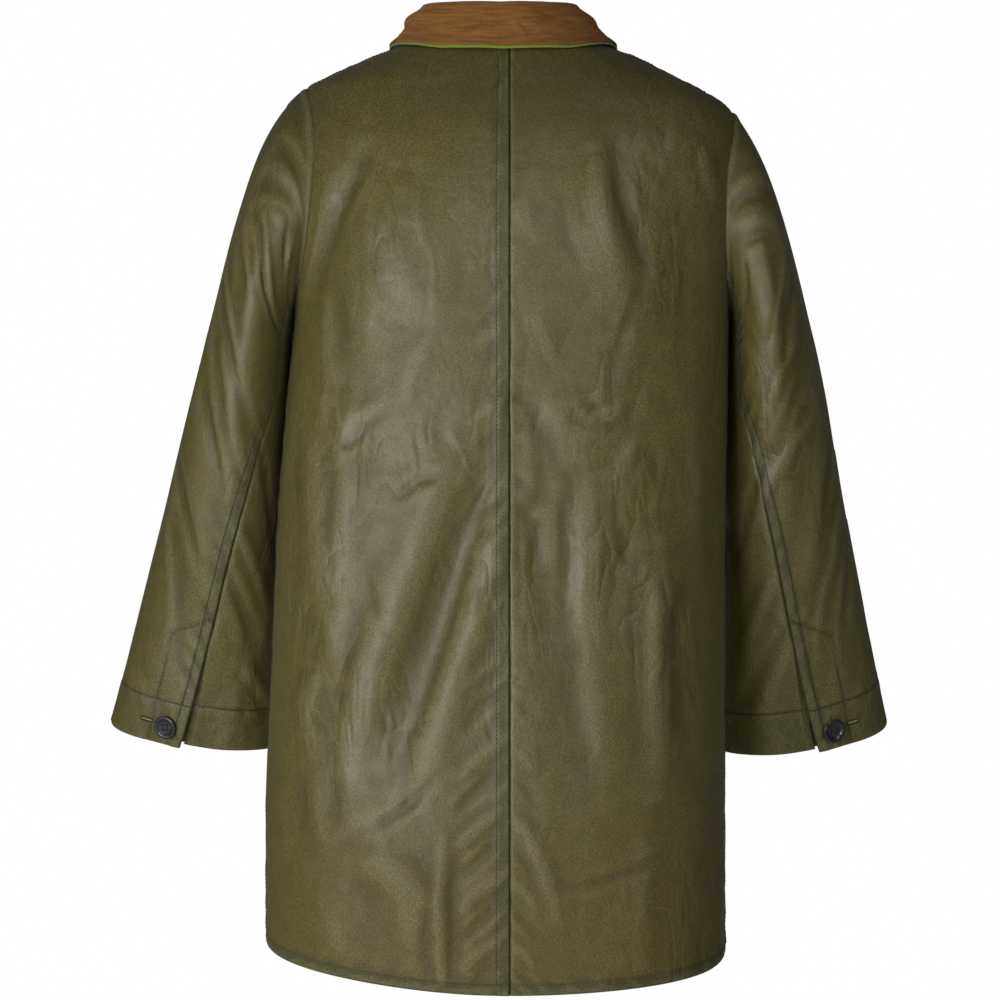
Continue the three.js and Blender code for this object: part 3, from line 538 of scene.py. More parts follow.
# A closed shell between an outer and an inner grid of points in millimetres. The cloth's own
# directions go into its UV map, in metres.
def makeShell(name, outer, inner, clothPlace, masks, materials, turned=False):
    rows, columns = outer.shape[:2]
    count = rows * columns
    co = np.concatenate([outer.reshape(-1, 3), inner.reshape(-1, 3)]) * mm
    grid = np.arange(count).reshape(rows, columns)
    a, b, c, d = grid[:-1, :-1], grid[:-1, 1:], grid[1:, 1:], grid[1:, :-1]
    outside = np.stack([a, b, c, d], -1).reshape(-1, 4)
    rim = []
    for line in (grid[0, :], grid[:, -1], grid[-1, ::-1], grid[::-1, 0]):
        rim.append(np.stack([line[1:], line[:-1], line[:-1] + count, line[1:] + count], -1))
    faces = np.concatenate([outside, outside[:, ::-1] + count, np.concatenate(rim)])
    if turned:
        faces = faces[:, ::-1]
    mesh = bpy.data.meshes.new(name)
    mesh.from_pydata(co.tolist(), [], faces.tolist())
    kinds = np.zeros(len(faces), np.int32)
    kinds[len(outside):2 * len(outside)] = len(materials) - 1
    for material in materials:
        mesh.materials.append(material)
    mesh.polygons.foreach_set("material_index", kinds)
    uv = np.concatenate([clothPlace.reshape(-1, 2)] * 2) * mm
    loops = np.zeros(len(mesh.loops), np.int32)
    mesh.loops.foreach_get("vertex_index", loops)
    mesh.uv_layers.new(name="cloth").data.foreach_set("uv", uv[loops].astype(np.float32).ravel())
    for maskName, values in masks.items():
        mask = mesh.attributes.new(maskName, "FLOAT", "POINT")
        both = np.concatenate([np.broadcast_to(values, (rows, columns)).ravel()] * 2).astype(np.float32)
        mask.data.foreach_set("value", both)
    mesh.validate()
    return addObject(name, mesh)


def addObject(name, mesh, sharpAngle=50):
    mesh.polygons.foreach_set("use_smooth", np.ones(len(mesh.polygons), bool))
    mesh.set_sharp_from_angle(angle=math.radians(sharpAngle))
    piece = bpy.data.objects.new(name, mesh)
    bpy.context.scene.collection.objects.link(piece)
    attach(piece, "root")
    return piece


def dressAs(piece, slot, *nodes):
    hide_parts(*nodes)


# Shader groups
def newGroup(name, inputs, outputs):
    group = bpy.data.node_groups.new(name, "ShaderNodeTree")
    for label, kind, value in inputs:
        socket = group.interface.new_socket(label, in_out="INPUT", socket_type=kind)
        socket.default_value = value
    for label, kind in outputs:
        group.interface.new_socket(label, in_out="OUTPUT", socket_type=kind)
    return group, group.nodes.new("NodeGroupInput"), group.nodes.new("NodeGroupOutput")


def addNode(tree, kind, settings=None, **values):
    node = tree.nodes.new(kind)
    for name, value in (settings or {}).items():
        setattr(node, name, value)
    for name, value in values.items():
        node.inputs[name].default_value = value
    return node


def noiseNode(tree, vector, scale, detail, roughness=0.5, distortion=0.0):
    node = addNode(tree, "ShaderNodeTexNoise")
    node.inputs["Scale"].default_value = scale
    node.inputs["Detail"].default_value = detail
    node.inputs["Roughness"].default_value = roughness
    node.inputs["Distortion"].default_value = distortion
    tree.links.new(vector, node.inputs["Vector"])
    return node.outputs["Fac"]


def mathNode(tree, operation, a, b=0.0, clamp=False):
    node = addNode(tree, "ShaderNodeMath", {"operation": operation, "use_clamp": clamp})
    for socket, value in zip(node.inputs, (a, b)):
        if isinstance(value, (int, float)):
            socket.default_value = value
        else:
            tree.links.new(value, socket)
    return node.outputs[0]


def rangeNode(tree, value, low, high, toLow=0.0, toHigh=1.0):
    node = addNode(tree, "ShaderNodeMapRange", {"interpolation_type": "SMOOTHSTEP"})
    tree.links.new(value, node.inputs["Value"])
    for name, number in (("From Min", low), ("From Max", high), ("To Min", toLow), ("To Max", toHigh)):
        if isinstance(number, (int, float)):
            node.inputs[name].default_value = number
        else:
            tree.links.new(number, node.inputs[name])
    return node.outputs["Result"]


def mixColour(tree, factor, a, b, blend="MIX"):
    node = addNode(tree, "ShaderNodeMix", {"data_type": "RGBA", "blend_type": blend})
    for socket, value in ((node.inputs[0], factor), (node.inputs[6], a), (node.inputs[7], b)):
        if isinstance(value, (int, float, tuple)):
            socket.default_value = value
        else:
            tree.links.new(value, socket)
    return node.outputs[2]


# Plain weave of the cloth: two sets of threads and the unevenness of the yarn.
def makeWeaveGroup():
    group, source, result = newGroup(
        "clothWeave",
        [("Cloth Place", "NodeSocketVector", (0, 0, 0)), ("Threads per Metre", "NodeSocketFloat", 900.0)],
        [("Height", "NodeSocketFloat"), ("Yarn", "NodeSocketFloat")])
    scaled = addNode(group, "ShaderNodeVectorMath", {"operation": "SCALE"})
    group.links.new(source.outputs["Cloth Place"], scaled.inputs[0])
    group.links.new(source.outputs["Threads per Metre"], scaled.inputs["Scale"])
    parts = addNode(group, "ShaderNodeSeparateXYZ")
    group.links.new(scaled.outputs[0], parts.inputs[0])
    warp = mathNode(group, "SINE", mathNode(group, "MULTIPLY", parts.outputs[0], math.pi))
    weft = mathNode(group, "SINE", mathNode(group, "MULTIPLY", parts.outputs[1], math.pi))
    woven = mathNode(group, "MULTIPLY", warp, weft)
    yarns = []
    for scale in ((1.0, 0.28, 1.0), (0.34, 1.0, 1.0)):
        slub = addNode(group, "ShaderNodeMapping")
        slub.inputs["Scale"].default_value = scale
        group.links.new(source.outputs["Cloth Place"], slub.inputs["Vector"])
        yarns.append(noiseNode(group, slub.outputs[0], 900, 2, 0.6))
    grain = noiseNode(group, source.outputs["Cloth Place"], 620, 3, 0.8)
    slubs = mathNode(group, "ADD", mathNode(group, "MULTIPLY", yarns[0], 0.22),
                     mathNode(group, "MULTIPLY", yarns[1], 0.18))
    yarn = mathNode(group, "ADD", slubs, mathNode(group, "MULTIPLY", grain, 0.6))
    height = mathNode(group, "ADD", mathNode(group, "MULTIPLY", woven, 0.1), yarn)
    group.links.new(height, result.inputs["Height"])
    group.links.new(yarn, result.inputs["Yarn"])
    return group


# Sharp-edged crumples: noise folded at its middle, so that it meets in creases.
def foldedNoise(tree, vector, scale, detail, distortion):
    noise = noiseNode(tree, vector, scale, detail, 0.55, distortion)
    return mathNode(tree, "ABSOLUTE", mathNode(tree, "SUBTRACT", noise, 0.5))


# Crumples of the cloth: heights of the large, middle and small ones, in millimetres.
crumpleHeights = {"large": 14.0, "middle": 6.0, "small": 0.6}


# Uneven wax: broad cloudy patches, small mottle, and the crumples with their cracks.
def makeWaxGroup():
    group, source, result = newGroup(
        "waxPatches",
        [("Place", "NodeSocketVector", (0, 0, 0)), ("Patch Size", "NodeSocketFloat", 9.0)],
        [("Patches", "NodeSocketFloat"), ("Mottle", "NodeSocketFloat"), ("Cracks", "NodeSocketFloat"),
         ("Crumple", "NodeSocketFloat")])
    place = source.outputs["Place"]
    wide = addNode(group, "ShaderNodeTexNoise")
    wide.inputs["Detail"].default_value = 5.0
    wide.inputs["Roughness"].default_value = 0.58
    wide.inputs["Distortion"].default_value = 0.5
    group.links.new(place, wide.inputs["Vector"])
    group.links.new(source.outputs["Patch Size"], wide.inputs["Scale"])
    group.links.new(rangeNode(group, wide.outputs["Fac"], 0.36, 0.66), result.inputs["Patches"])
    mottle = noiseNode(group, place, 74, 5, 0.62)
    group.links.new(rangeNode(group, mottle, 0.3, 0.7), result.inputs["Mottle"])
    hung = addNode(group, "ShaderNodeMapping")
    hung.inputs["Rotation"].default_value = (0.0, 0.35, 0.0)
    hung.inputs["Scale"].default_value = (1.0, 1.0, 0.5)
    group.links.new(place, hung.inputs["Vector"])
    large = foldedNoise(group, hung.outputs[0], 14, 1.0, 0.5)
    middle = foldedNoise(group, hung.outputs[0], 33, 2.0, 0.5)
    small = foldedNoise(group, place, 90, 2, 0.4)
    where = rangeNode(group, noiseNode(group, place, 9, 2), 0.38, 0.62, 0.2, 1.0)
    crumple = mathNode(group, "ADD", mathNode(group, "MULTIPLY", large, crumpleHeights["large"]),
                       mathNode(group, "MULTIPLY", middle, crumpleHeights["middle"]))
    crumple = mathNode(group, "ADD", mathNode(group, "MULTIPLY", crumple, where),
                       mathNode(group, "MULTIPLY", small, crumpleHeights["small"]))
    group.links.new(crumple, result.inputs["Crumple"])
    crack = mathNode(group, "MULTIPLY", rangeNode(group, middle, 0.0, 0.02, 1.0, 0.0), where)
    group.links.new(crack, result.inputs["Cracks"])
    return group


def makeWaxedCloth(name, look):
    material = bpy.data.materials.new(name)
    material.use_nodes = True
    tree = material.node_tree
    shader = tree.nodes["Principled BSDF"]
    uv = addNode(tree, "ShaderNodeUVMap", {"uv_map": "cloth"})
    place = addNode(tree, "ShaderNodeTexCoord")
    weave = addNode(tree, "ShaderNodeGroup", {"node_tree": weaveGroup})
    wax = addNode(tree, "ShaderNodeGroup", {"node_tree": waxGroup})
    tree.links.new(uv.outputs[0], weave.inputs["Cloth Place"])
    tree.links.new(place.outputs["Object"], wax.inputs["Place"])
    ridge = addNode(tree, "ShaderNodeAttribute", {"attribute_name": "ridge"})
    doubled = addNode(tree, "ShaderNodeAttribute", {"attribute_name": "doubled"})
    seam = addNode(tree, "ShaderNodeAttribute", {"attribute_name": "seam"})
    height = addNode(tree, "ShaderNodeSeparateXYZ")
    tree.links.new(place.outputs["Object"], height.inputs[0])

    # Darker towards the shoulders, and darker and more saturated towards the hem: painted shade where the
    # light falls off at the top and the bottom.
    hemShadeAndDull = rangeNode(tree, height.outputs[2], -0.6, -0.8)
    shoulderShade = rangeNode(tree, height.outputs[2], -0.16, -0.02)
    colour = mixColour(tree, hemShadeAndDull, look["body"], look["hem"])
    colour = mixColour(tree, shoulderShade, colour, look["shoulder"])
    bloom = mathNode(tree, "MULTIPLY", wax.outputs["Patches"], look["patchStrength"])
    colour = mixColour(tree, bloom, colour, look["bloom"])
    mottle = mathNode(tree, "MULTIPLY", wax.outputs["Mottle"], look["mottleStrength"])
    colour = mixColour(tree, mottle, colour, look["deep"])
    colour = mixColour(tree, mathNode(tree, "MULTIPLY", doubled.outputs["Fac"], look["doubledStrength"]),
                       colour, look["doubled"])
    worn = mathNode(tree, "MULTIPLY", rangeNode(tree, ridge.outputs["Fac"], 0.1, 1.0),
                    look["wornStrength"])
    colour = mixColour(tree, worn, colour, look["worn"])
    # Darker in creases: painted shade.
    creased = mathNode(tree, "MULTIPLY", rangeNode(tree, ridge.outputs["Fac"], -0.1, -1.0),
                       look["creaseShadeStrength"])
    colour = mixColour(tree, creased, colour, look["deep"])
    cracks = mathNode(tree, "MULTIPLY", wax.outputs["Cracks"], look["crackStrength"])
    colour = mixColour(tree, cracks, colour, look["worn"])
    # Darker along seams: painted shade of the lapped edges, with wax and dirt.
    colour = mixColour(tree, mathNode(tree, "MULTIPLY", seam.outputs["Fac"], look["seamShadeStrength"]),
                       colour, look["seamShadeAndDirt"])
    yarn = rangeNode(tree, weave.outputs["Yarn"], 0.38, 0.62, look["yarnDark"], look["yarnLight"])
    shade = addNode(tree, "ShaderNodeCombineXYZ")
    for socket in shade.inputs:
        tree.links.new(yarn, socket)
    colour = mixColour(tree, 1.0, colour, shade.outputs[0], "MULTIPLY")
    tree.links.new(colour, shader.inputs["Base Color"])

    gloss = mathNode(tree, "SUBTRACT", look["roughness"],
                     mathNode(tree, "MULTIPLY", wax.outputs["Patches"], look["patchGloss"]))
    dull = mathNode(tree, "MULTIPLY", wax.outputs["Mottle"], look["mottleDull"])
    gloss = mathNode(tree, "ADD", gloss, dull)
    gloss = mathNode(tree, "ADD", gloss, mathNode(tree, "MULTIPLY", hemShadeAndDull, look["hemDull"]))
    dull = mathNode(tree, "MULTIPLY", doubled.outputs["Fac"], look["doubledDull"])
    gloss = mathNode(tree, "ADD", gloss, dull)
    tree.links.new(gloss, shader.inputs["Roughness"])
    shader.inputs["Specular IOR Level"].default_value = look["specular"]
    shader.inputs["Sheen Weight"].default_value = look["sheen"]
    shader.inputs["Sheen Roughness"].default_value = 0.5

    broad = addNode(tree, "ShaderNodeBump")
    broad.inputs["Strength"].default_value = look["crumpleBump"]
    broad.inputs["Distance"].default_value = 0.001
    tree.links.new(wax.outputs["Crumple"], broad.inputs["Height"])
    fine = addNode(tree, "ShaderNodeBump")
    fine.inputs["Strength"].default_value = look["weaveBump"]
    fine.inputs["Distance"].default_value = 0.0005
    tree.links.new(weave.outputs["Height"], fine.inputs["Height"])
    tree.links.new(broad.outputs[0], fine.inputs["Normal"])
    tree.links.new(fine.outputs[0], shader.inputs["Normal"])
    return material


def colourOf(code):
    parts = [int(code[i:i + 2], 16) / 255 for i in (0, 2, 4)]
    return tuple([p / 12.92 if p <= 0.04045 else ((p + 0.055) / 1.055) ** 2.4 for p in parts] + [1.0])


weaveGroup = makeWeaveGroup()
waxGroup = makeWaxGroup()
# The hem and shoulder colours hold painted shade, darker than the body colour.
waxedLook = {
    "body": colourOf("5A5427"), "hem": colourOf("584E1B"), "shoulder": colourOf("4B4521"),
    "bloom": colourOf("645C34"), "deep": colourOf("3D3718"), "doubled": colourOf("40411F"),
    "worn": colourOf("746F50"), "seamShadeAndDirt": colourOf("1E1F14"),
    "patchStrength": 0.3, "mottleStrength": 0.3, "doubledStrength": 0.75, "wornStrength": 0.3,
    "creaseShadeStrength": 0.4, "crackStrength": 0.2, "seamShadeStrength": 0.6,
    "yarnDark": 0.6, "yarnLight": 1.42,
    "roughness": 0.43, "patchGloss": 0.06, "mottleDull": 0.05, "hemDull": 0.2, "doubledDull": 0.12,
    "specular": 0.42, "sheen": 0.03,
    "weaveBump": 0.6, "crumpleBump": 0.8,
}
insideLook = dict(waxedLook, roughness=0.72, specular=0.3, patchStrength=0.15, body=colourOf("4F4A2B"))
waxedCloth = makeWaxedCloth("waxedCloth", waxedLook)
clothInside = makeWaxedCloth("clothInside", insideLook)
print("cloth materials made")


def makeBodyPanel(side, back):
    share, level, width = panelGrid(side, back)
    outer, normal, height, masks = panelSurface(side, back, share, level, width)
    depth = bodyCloth["thickness"] + bodyCloth["turnedThickness"] * masks["doubled"]
    depth = np.broadcast_to(depth, height.shape)
    inner = outer - normal * depth[..., None]
    name = ("back_" if back else "front_") + sideNames[side]
    clothPlace = np.stack(np.broadcast_arrays(share * width, outer[..., 2]), -1)
    masks["ridge"] = ridgeMask(height)
    turned = (side == left) if back else (side == right)
    piece = makeShell("cloth_" + name, outer, inner, clothPlace, masks, [waxedCloth, clothInside],
                      turned)
    dressAs(piece, "waxed_cotton", name)


for side in (left, right):
    for back in (True, False):
        makeBodyPanel(side, back)
print("body panels made")

# The sleeves
sleeveRows = "along outerX outerZ innerX innerZ forward depth tilt"
sleeves = {
    left: table(
        sleeveRows,
        (0, -254, -221, -189, -270, 14, 84, 4),
        (0.23, -280, -318, -193, -343, 32, 80, 6),
        (0.46, -304, -409, -197, -436, 52, 74, 9),
        (0.7, -330, -501, -198, -526, 74, 62, 12),
        (0.94, -355, -595, -199, -614, 92, 50, 15),
        (1, -361, -615, -199, -633, 98, 47, 16),
    ),
    right: table(
        sleeveRows,
        (0, 272, -221, 207, -270, 14, 86, 4),
        (0.23, 296, -318, 204, -343, 32, 82, 6),
        (0.46, 314, -409, 201, -436, 52, 76, 9),
        (0.7, 334, -501, 199, -527, 74, 64, 13),
        (0.94, 355, -595, 198, -617, 94, 50, 18),
        (1, 360, -616, 198, -636, 98, 47, 18.5),
    ),
}
# Seams of the two-piece sleeve, as angles round it from its outer edge over the back.
sleeveSeams = table(
    "along back front",
    (-1, 135, 225),
    (-0.4, 148, 226),
    (0.05, 149, 228),
    (0.3, 121, 238),
    (0.5, 103, 248),
    (0.75, 91, 258),
    (1, 81, 264),
)
sleeveGirth, capLength, sleeveLength = 410, 190, 405
# Folds of each sleeve: angle and place along it at both ends, width, height and bow.
sleeveLargeFolds = (
    (66, -0.5, 74, 0.18, 15, -4, 0),
    (38, -0.2, 92, 0.55, 16, -3.5, 0),
    (30, 0.3, 78, 0.8, 15, -3, 0),
    (285, -0.3, 262, 0.4, 18, -4, 0),
    (300, 0.3, 270, 0.8, 16, -3, 0),
)
sleeveCreases = {
    left: (
        (44, -0.72, 82, -0.88, 7, -2.4, 0),
        (50, -0.63, 98, -0.90, 5, 2.9, 4),
        (48, -0.52, 88, -0.78, 6, -2.3, 3),
        (80, -0.68, 97, -0.85, 3.5, 2, 0),
        (62, -0.48, 90, -0.66, 7, 1.6, 3),
        (92, -0.68, 108, -0.58, 6, -2.6, 0),
        (104, -0.74, 118, -0.56, 5, 1.6, 0),
        (52, -0.42, 104, -0.26, 6, -2.4, 5),
        (58, -0.5, 114, -0.3, 7, 2.2, 6),
        (44, -0.34, 84, -0.14, 9, 2, 4),
        (76, -0.38, 138, -0.1, 6, -1.8, 4),
        (36, -0.04, 104, 0.22, 7, -2.3, 6),
        (30, -0.12, 84, 0.12, 9, 2.4, 6),
        (58, 0.1, 108, 0.34, 7, 1.8, 4),
        (46, 0.2, 86, 0.38, 7, -2, 4),
        (40, 0.1, 74, 0.3, 8, 1.9, 4),
        (20, 0.36, 74, 0.55, 8, -2, 5),
        (30, 0.5, 64, 0.72, 8, 1.8, 4),
        (46, 0.56, 70, 0.78, 7, -1.5, 3),
        (100, 0.56, 132, 0.78, 8, -2.6, 4),
        (108, 0.46, 142, 0.66, 8, 2.2, 4),
        (124, 0.28, 150, 0.5, 8, -2.4, 3),
        (118, 0.78, 150, 0.9, 7, 1.6, 3),
        (286, -0.7, 262, -0.4, 9, -2.2, -4),
        (300, -0.5, 268, -0.1, 9, 2.2, -4),
        (312, 0.1, 282, 0.4, 9, 2, -4),
        (290, 0.44, 268, 0.7, 8, -2.2, -4),
        (320, 0.5, 300, 0.8, 9, 2, -3),
    ),
    right: (
        (84, -0.96, 44, -0.66, 3.5, 1.8, 0),
        (86, -0.88, 48, -0.56, 7, -2.6, 0),
        (88, -0.78, 56, -0.46, 7, 2, 0),
        (96, -0.66, 60, -0.4, 6, -1.8, 0),
        (104, -0.6, 122, -0.36, 6, -2, 0),
        (50, -0.24, 92, 0.06, 8, 1.8, 5),
        (44, -0.1, 84, 0.16, 7, -2, 5),
        (62, 0.08, 108, 0.2, 7, 2.2, 4),
        (56, 0.16, 104, 0.3, 6, -1.9, 4),
        (52, 0.24, 112, 0.38, 7, 2, 5),
        (22, 0.3, 60, 0.52, 8, -1.8, 4),
        (20, 0.44, 56, 0.6, 7, 2, 4),
        (30, 0.58, 54, 0.8, 7, -1.6, 3),
        (56, 0.56, 76, 0.78, 7, 1.6, 3),
        (110, 0.3, 138, 0.52, 8, -2, 3),
        (102, 0.56, 130, 0.76, 8, 2, 4),
        (98, 0.7, 128, 0.88, 8, -2.2, 4),
        (284, -0.66, 260, -0.36, 9, -2.2, -4),
        (304, -0.46, 270, -0.06, 9, 2.2, -4),
        (310, 0.14, 280, 0.42, 9, 2, -4),
        (288, 0.4, 266, 0.68, 8, -2.2, -4),
        (322, 0.48, 302, 0.78, 9, 2, -3),
    ),
}
cuff = {
    "ventLength": 115, "lift": 3, "liftWidth": 26, "sink": 4, "sinkWidth": 34,
    "lapWidth": 24, "tuck": 12, "band": 46, "strip": 9.5, "startPull": 0.7, "endPull": 1.1,
    "opening": 6.5, "underarmRest": 8.1, "restAngle": 218, "restSpread": 36, "restFades": (0.08, 0.5),
    "seamEdgeDrop": 2.4, "seamEdgeIn": 3.5, "shoulderRise": 0.9, "shoulderRiseReach": 42,
}
ventTop = 1 - cuff["ventLength"] / sleeveLength


def sleeveRing(side, along, angle):
    def read(name):
        return column(sleeves[side], "along", name, along)

    outer = points(read("outerX"), read("forward"), read("outerZ"))
    inner = points(read("innerX"), read("forward"), read("innerZ"))
    tilt = read("tilt")
    backward = points(0, -cosDegrees(tilt), -sinDegrees(tilt))
    around = (outer - inner) / 2 * cosDegrees(angle)[..., None]
    return (outer + inner) / 2 + around + backward * (read("depth") * sinDegrees(angle))[..., None]


def sleeveStart(side, angle):
    around = np.mod(angle, 360)
    back = around <= 180
    return armholePlace(side, back, np.where(back, around, 360 - around))


def sleeveWay(side, angle):
    low = (1 - cosDegrees(angle)) / 2
    fall = mix(jacket["capFall"][side], jacket["underarmFall"], low)
    return unit(points(side * cosDegrees(fall), -jacket["capSpread"] * sinDegrees(angle), -sinDegrees(fall)))


def bodyFolds(angle, p):
    fade = smooth(np.abs(cosDegrees(angle)), 0.12, 0.5)
    back = foldSum(backLargeFolds, p[..., 0], p[..., 2])
    front = foldSum(frontLargeFolds, p[..., 0], p[..., 2])
    return fade * np.where(cosDegrees(angle) > 0, back, front)


# Sleeve form: along runs from -1 at the armhole to 0 at the upper arm and 1 at the cuff.
def sleevePoint(side, along, angle):
    along, angle = np.broadcast_arrays(np.asarray(along, float), np.asarray(angle, float))
    ring = sleeveRing(side, np.maximum(along, 0), angle)
    place = sleeveStart(side, angle)
    start = torsoPoint(*place)
    start = start + torsoNormal(*place) * bodyFolds(place[0], start)[..., None]
    atArm = sleeveRing(side, np.zeros_like(along), angle)
    span = np.linalg.norm(atArm - start, axis=-1, keepdims=True)
    down = unit(sleeveRing(side, np.full_like(along, 0.02), angle) - atArm)
    way = sleeveWay(side, angle) * span * cuff["startPull"]
    cap = hermite(along[..., None] + 1, start, way, atArm, down * span * cuff["endPull"])
    return np.where(along[..., None] < 0, cap, ring)


def sleeveNormal(side, along, angle):
    step = 0.01
    low, high = np.maximum(along - step, -1), np.minimum(along + step, 1)
    down = sleevePoint(side, high, angle) - sleevePoint(side, low, angle)
    around = sleevePoint(side, along, angle + 1) - sleevePoint(side, along, angle - 1)
    return unit(np.cross(around, down)) * side


def downSleeve(along):
    return along * np.where(along < 0, capLength, sleeveLength)


def sleeveFolds(folds, along, angle, profile=bell):
    total = 0
    for angle0, along0, angle1, along1, width, height, bow in folds:
        near = angle0 + np.mod(angle - angle0 + 180, 360) - 180
        scale = sleeveGirth / 360
        row = (angle0 * scale, downSleeve(along0), angle1 * scale, downSleeve(along1),
               width, height, bow)
        total = total + foldSum((row,), near * scale, downSleeve(along), profile)
    return total


def backSeamAngle(along):
    return column(sleeveSeams, "along", "back", along)


def frontSeamAngle(along):
    return column(sleeveSeams, "along", "front", along)


# Millimetres of cloth for each degree round the sleeve.
def perDegree(side, along, angle):
    gap = sleevePoint(side, along, angle + 1) - sleevePoint(side, along, angle - 1)
    return np.linalg.norm(gap, axis=-1) / 2


# How far the under sleeve's edge lies back from the top sleeve's, down the vent.
def ventOpening(along):
    return cuff["opening"] * smooth(along, ventTop, 1)


def ventShift(side, along, angle, upper):
    c = cuff
    opened = smooth(along, ventTop, 1)
    away = np.abs(angle - backSeamAngle(along)) * sleeveGirth / 360
    if upper:
        return c["lift"] * opened * (1 - smooth(away, 0, c["liftWidth"]))
    return -c["sink"] * opened * (1 - smooth(away, 0, c["sinkWidth"]))


# Lines of stitching of the cuff facing, as places along and round the sleeve.
facingLine = ((0.672, 93.5), (0.73, 61.5), (0.86, 59), (1.0, 57))


def polylineDistance(line, along, angle):
    scale = sleeveGirth / 360
    best = np.full(np.broadcast(along, angle).shape, 1e6)
    x, z = angle * scale, along * sleeveLength
    for (along0, angle0), (along1, angle1) in zip(line[:-1], line[1:]):
        dx, dz = (angle1 - angle0) * scale, (along1 - along0) * sleeveLength
        share = ((x - angle0 * scale) * dx + (z - along0 * sleeveLength) * dz) / (dx * dx + dz * dz)
        share = np.clip(share, 0, 1)
        away = np.hypot(x - angle0 * scale - share * dx, z - along0 * sleeveLength - share * dz)
        best = np.minimum(best, away)
    return best


def sleeveHeight(side, upper, along, angle):
    c = bodyCloth
    calm = smooth(along, -1, -0.7) * (1 - smooth(along, 0.8, 0.95))
    inward = 1 - 0.85 * bell(np.mod(angle, 360) - 180, 36) * smooth(along, -0.3, 0)
    s = downSleeve(along)
    height = 0.6 * calm * sleeveFolds(sleeveLargeFolds, along, angle)
    nearArmhole = smooth(along, -1, -0.93) * (1 - smooth(along, 0.84, 0.97))
    height = height + inward * nearArmhole * sleeveFolds(sleeveCreases[side], along, angle, crisp)
    turn = np.mod(angle, 360)
    height = height + inward * smooth(along, -1, -0.9) * clothWander(
        turn * sleeveGirth / 360 + 300 * side, s, 8 + side)
    fromBackSeam = np.abs(angle - backSeamAngle(along)) * perDegree(side, along, backSeamAngle(along))
    seamAtFront = frontSeamAngle(along) - (360 if upper else 0)
    fromFrontSeam = np.abs(angle - seamAtFront) * perDegree(side, along, seamAtFront)
    inVent = smooth(along, ventTop - 0.01, ventTop + 0.01)
    atRest = smooth(along, -0.7, -0.35) * (1 - smooth(along, *cuff["restFades"]))
    height = height + cuff["underarmRest"] * atRest * bell(turn - cuff["restAngle"], cuff["restSpread"])
    if upper:
        height = height + felledStrip(fromBackSeam, s, 51 + side, cuff["strip"])
        height = height + felledStrip(fromFrontSeam, s, 55 + side, cuff["strip"])
        facing = polylineDistance(facingLine, along, angle)
        height = height + stitchDip(facing) * smooth(along, 0.6, 0.66)
    else:
        fromBackSeam = np.maximum(fromBackSeam - ventOpening(along), -bodyCloth["underReach"])
        tucked = tuckedEdge(fromBackSeam, s, 51 + side)
        height = height + mix(tucked, edgeRoll(fromBackSeam), inVent)
        height = height + tuckedEdge(fromFrontSeam, s, 55 + side)
    fromCuff = (1 - along) * sleeveLength
    band = cuff["band"]
    height = height + edgeRoll(fromCuff) + stitchDip(fromCuff - band) + 0.35 * (1 - smooth(
        fromCuff, band, band + c["stripEase"]))
    height = height + 0.7 * seamPucker(angle * sleeveGirth / 360, fromCuff - band, 61 + side)
    fromArmhole = (along + 1) * capLength
    height = height + 0.6 + 0.9 * bell(fromArmhole - 8, 7) - 0.6 * smooth(fromArmhole, 2, 12)
    height = height + 0.6 * seamPucker(
        turn * sleeveGirth / 360, fromArmhole, 65 + side) * smooth(fromArmhole, 0, 3)
    overShoulder = 1 - smooth(fromArmhole, 3, cuff["shoulderRiseReach"])
    overShoulder = bell(np.minimum(turn, 360 - turn), 32) * overShoulder
    height = height + cuff["shoulderRise"] * overShoulder
    doubled = 1 - smooth(fromCuff, band, band + 1.5)
    if upper:
        nearest = np.minimum(fromBackSeam, fromFrontSeam)
        doubled = np.maximum(doubled * 0.4, 1 - smooth(nearest, cuff["strip"], cuff["strip"] + 1.5))
        # Seam mask: painted shade along the lapped edges and stitching, with dirt.
        seam = np.maximum(seamShadeLine(nearest, cuff["strip"]), seamShadeLine(nearest, 0, 1.3))
        seam = np.maximum(seam, 0.6 * seamShadeLine(facing, 0, 1.6) * smooth(along, 0.62, 0.67))
    else:
        doubled = doubled * 0.4
        seam = seamShadeLine(np.minimum(fromBackSeam, fromFrontSeam), 0, 1.3)
    seam = np.maximum(seam, seamShadeLine(fromCuff, band))
    masks = {"doubled": doubled, "seam": np.maximum(seam, 0.35 * seamShadeLine(fromArmhole, 0))}
    return height + ventShift(side, along, angle, upper), masks


def sleeveSurface(side, upper, along, angle):
    height, masks = sleeveHeight(side, upper, along, angle)
    turnedUnder = 1 - smooth((along + 1) * capLength, 0, 1.2)      # the seam edge, under the body
    height = height - cuff["seamEdgeDrop"] * turnedUnder
    normal = sleeveNormal(side, along, angle)
    outer = sleevePoint(side, along, angle) + normal * height[..., None]
    outer[..., 0] = outer[..., 0] - side * cuff["seamEdgeIn"] * turnedUnder
    return outer, normal, height, masks


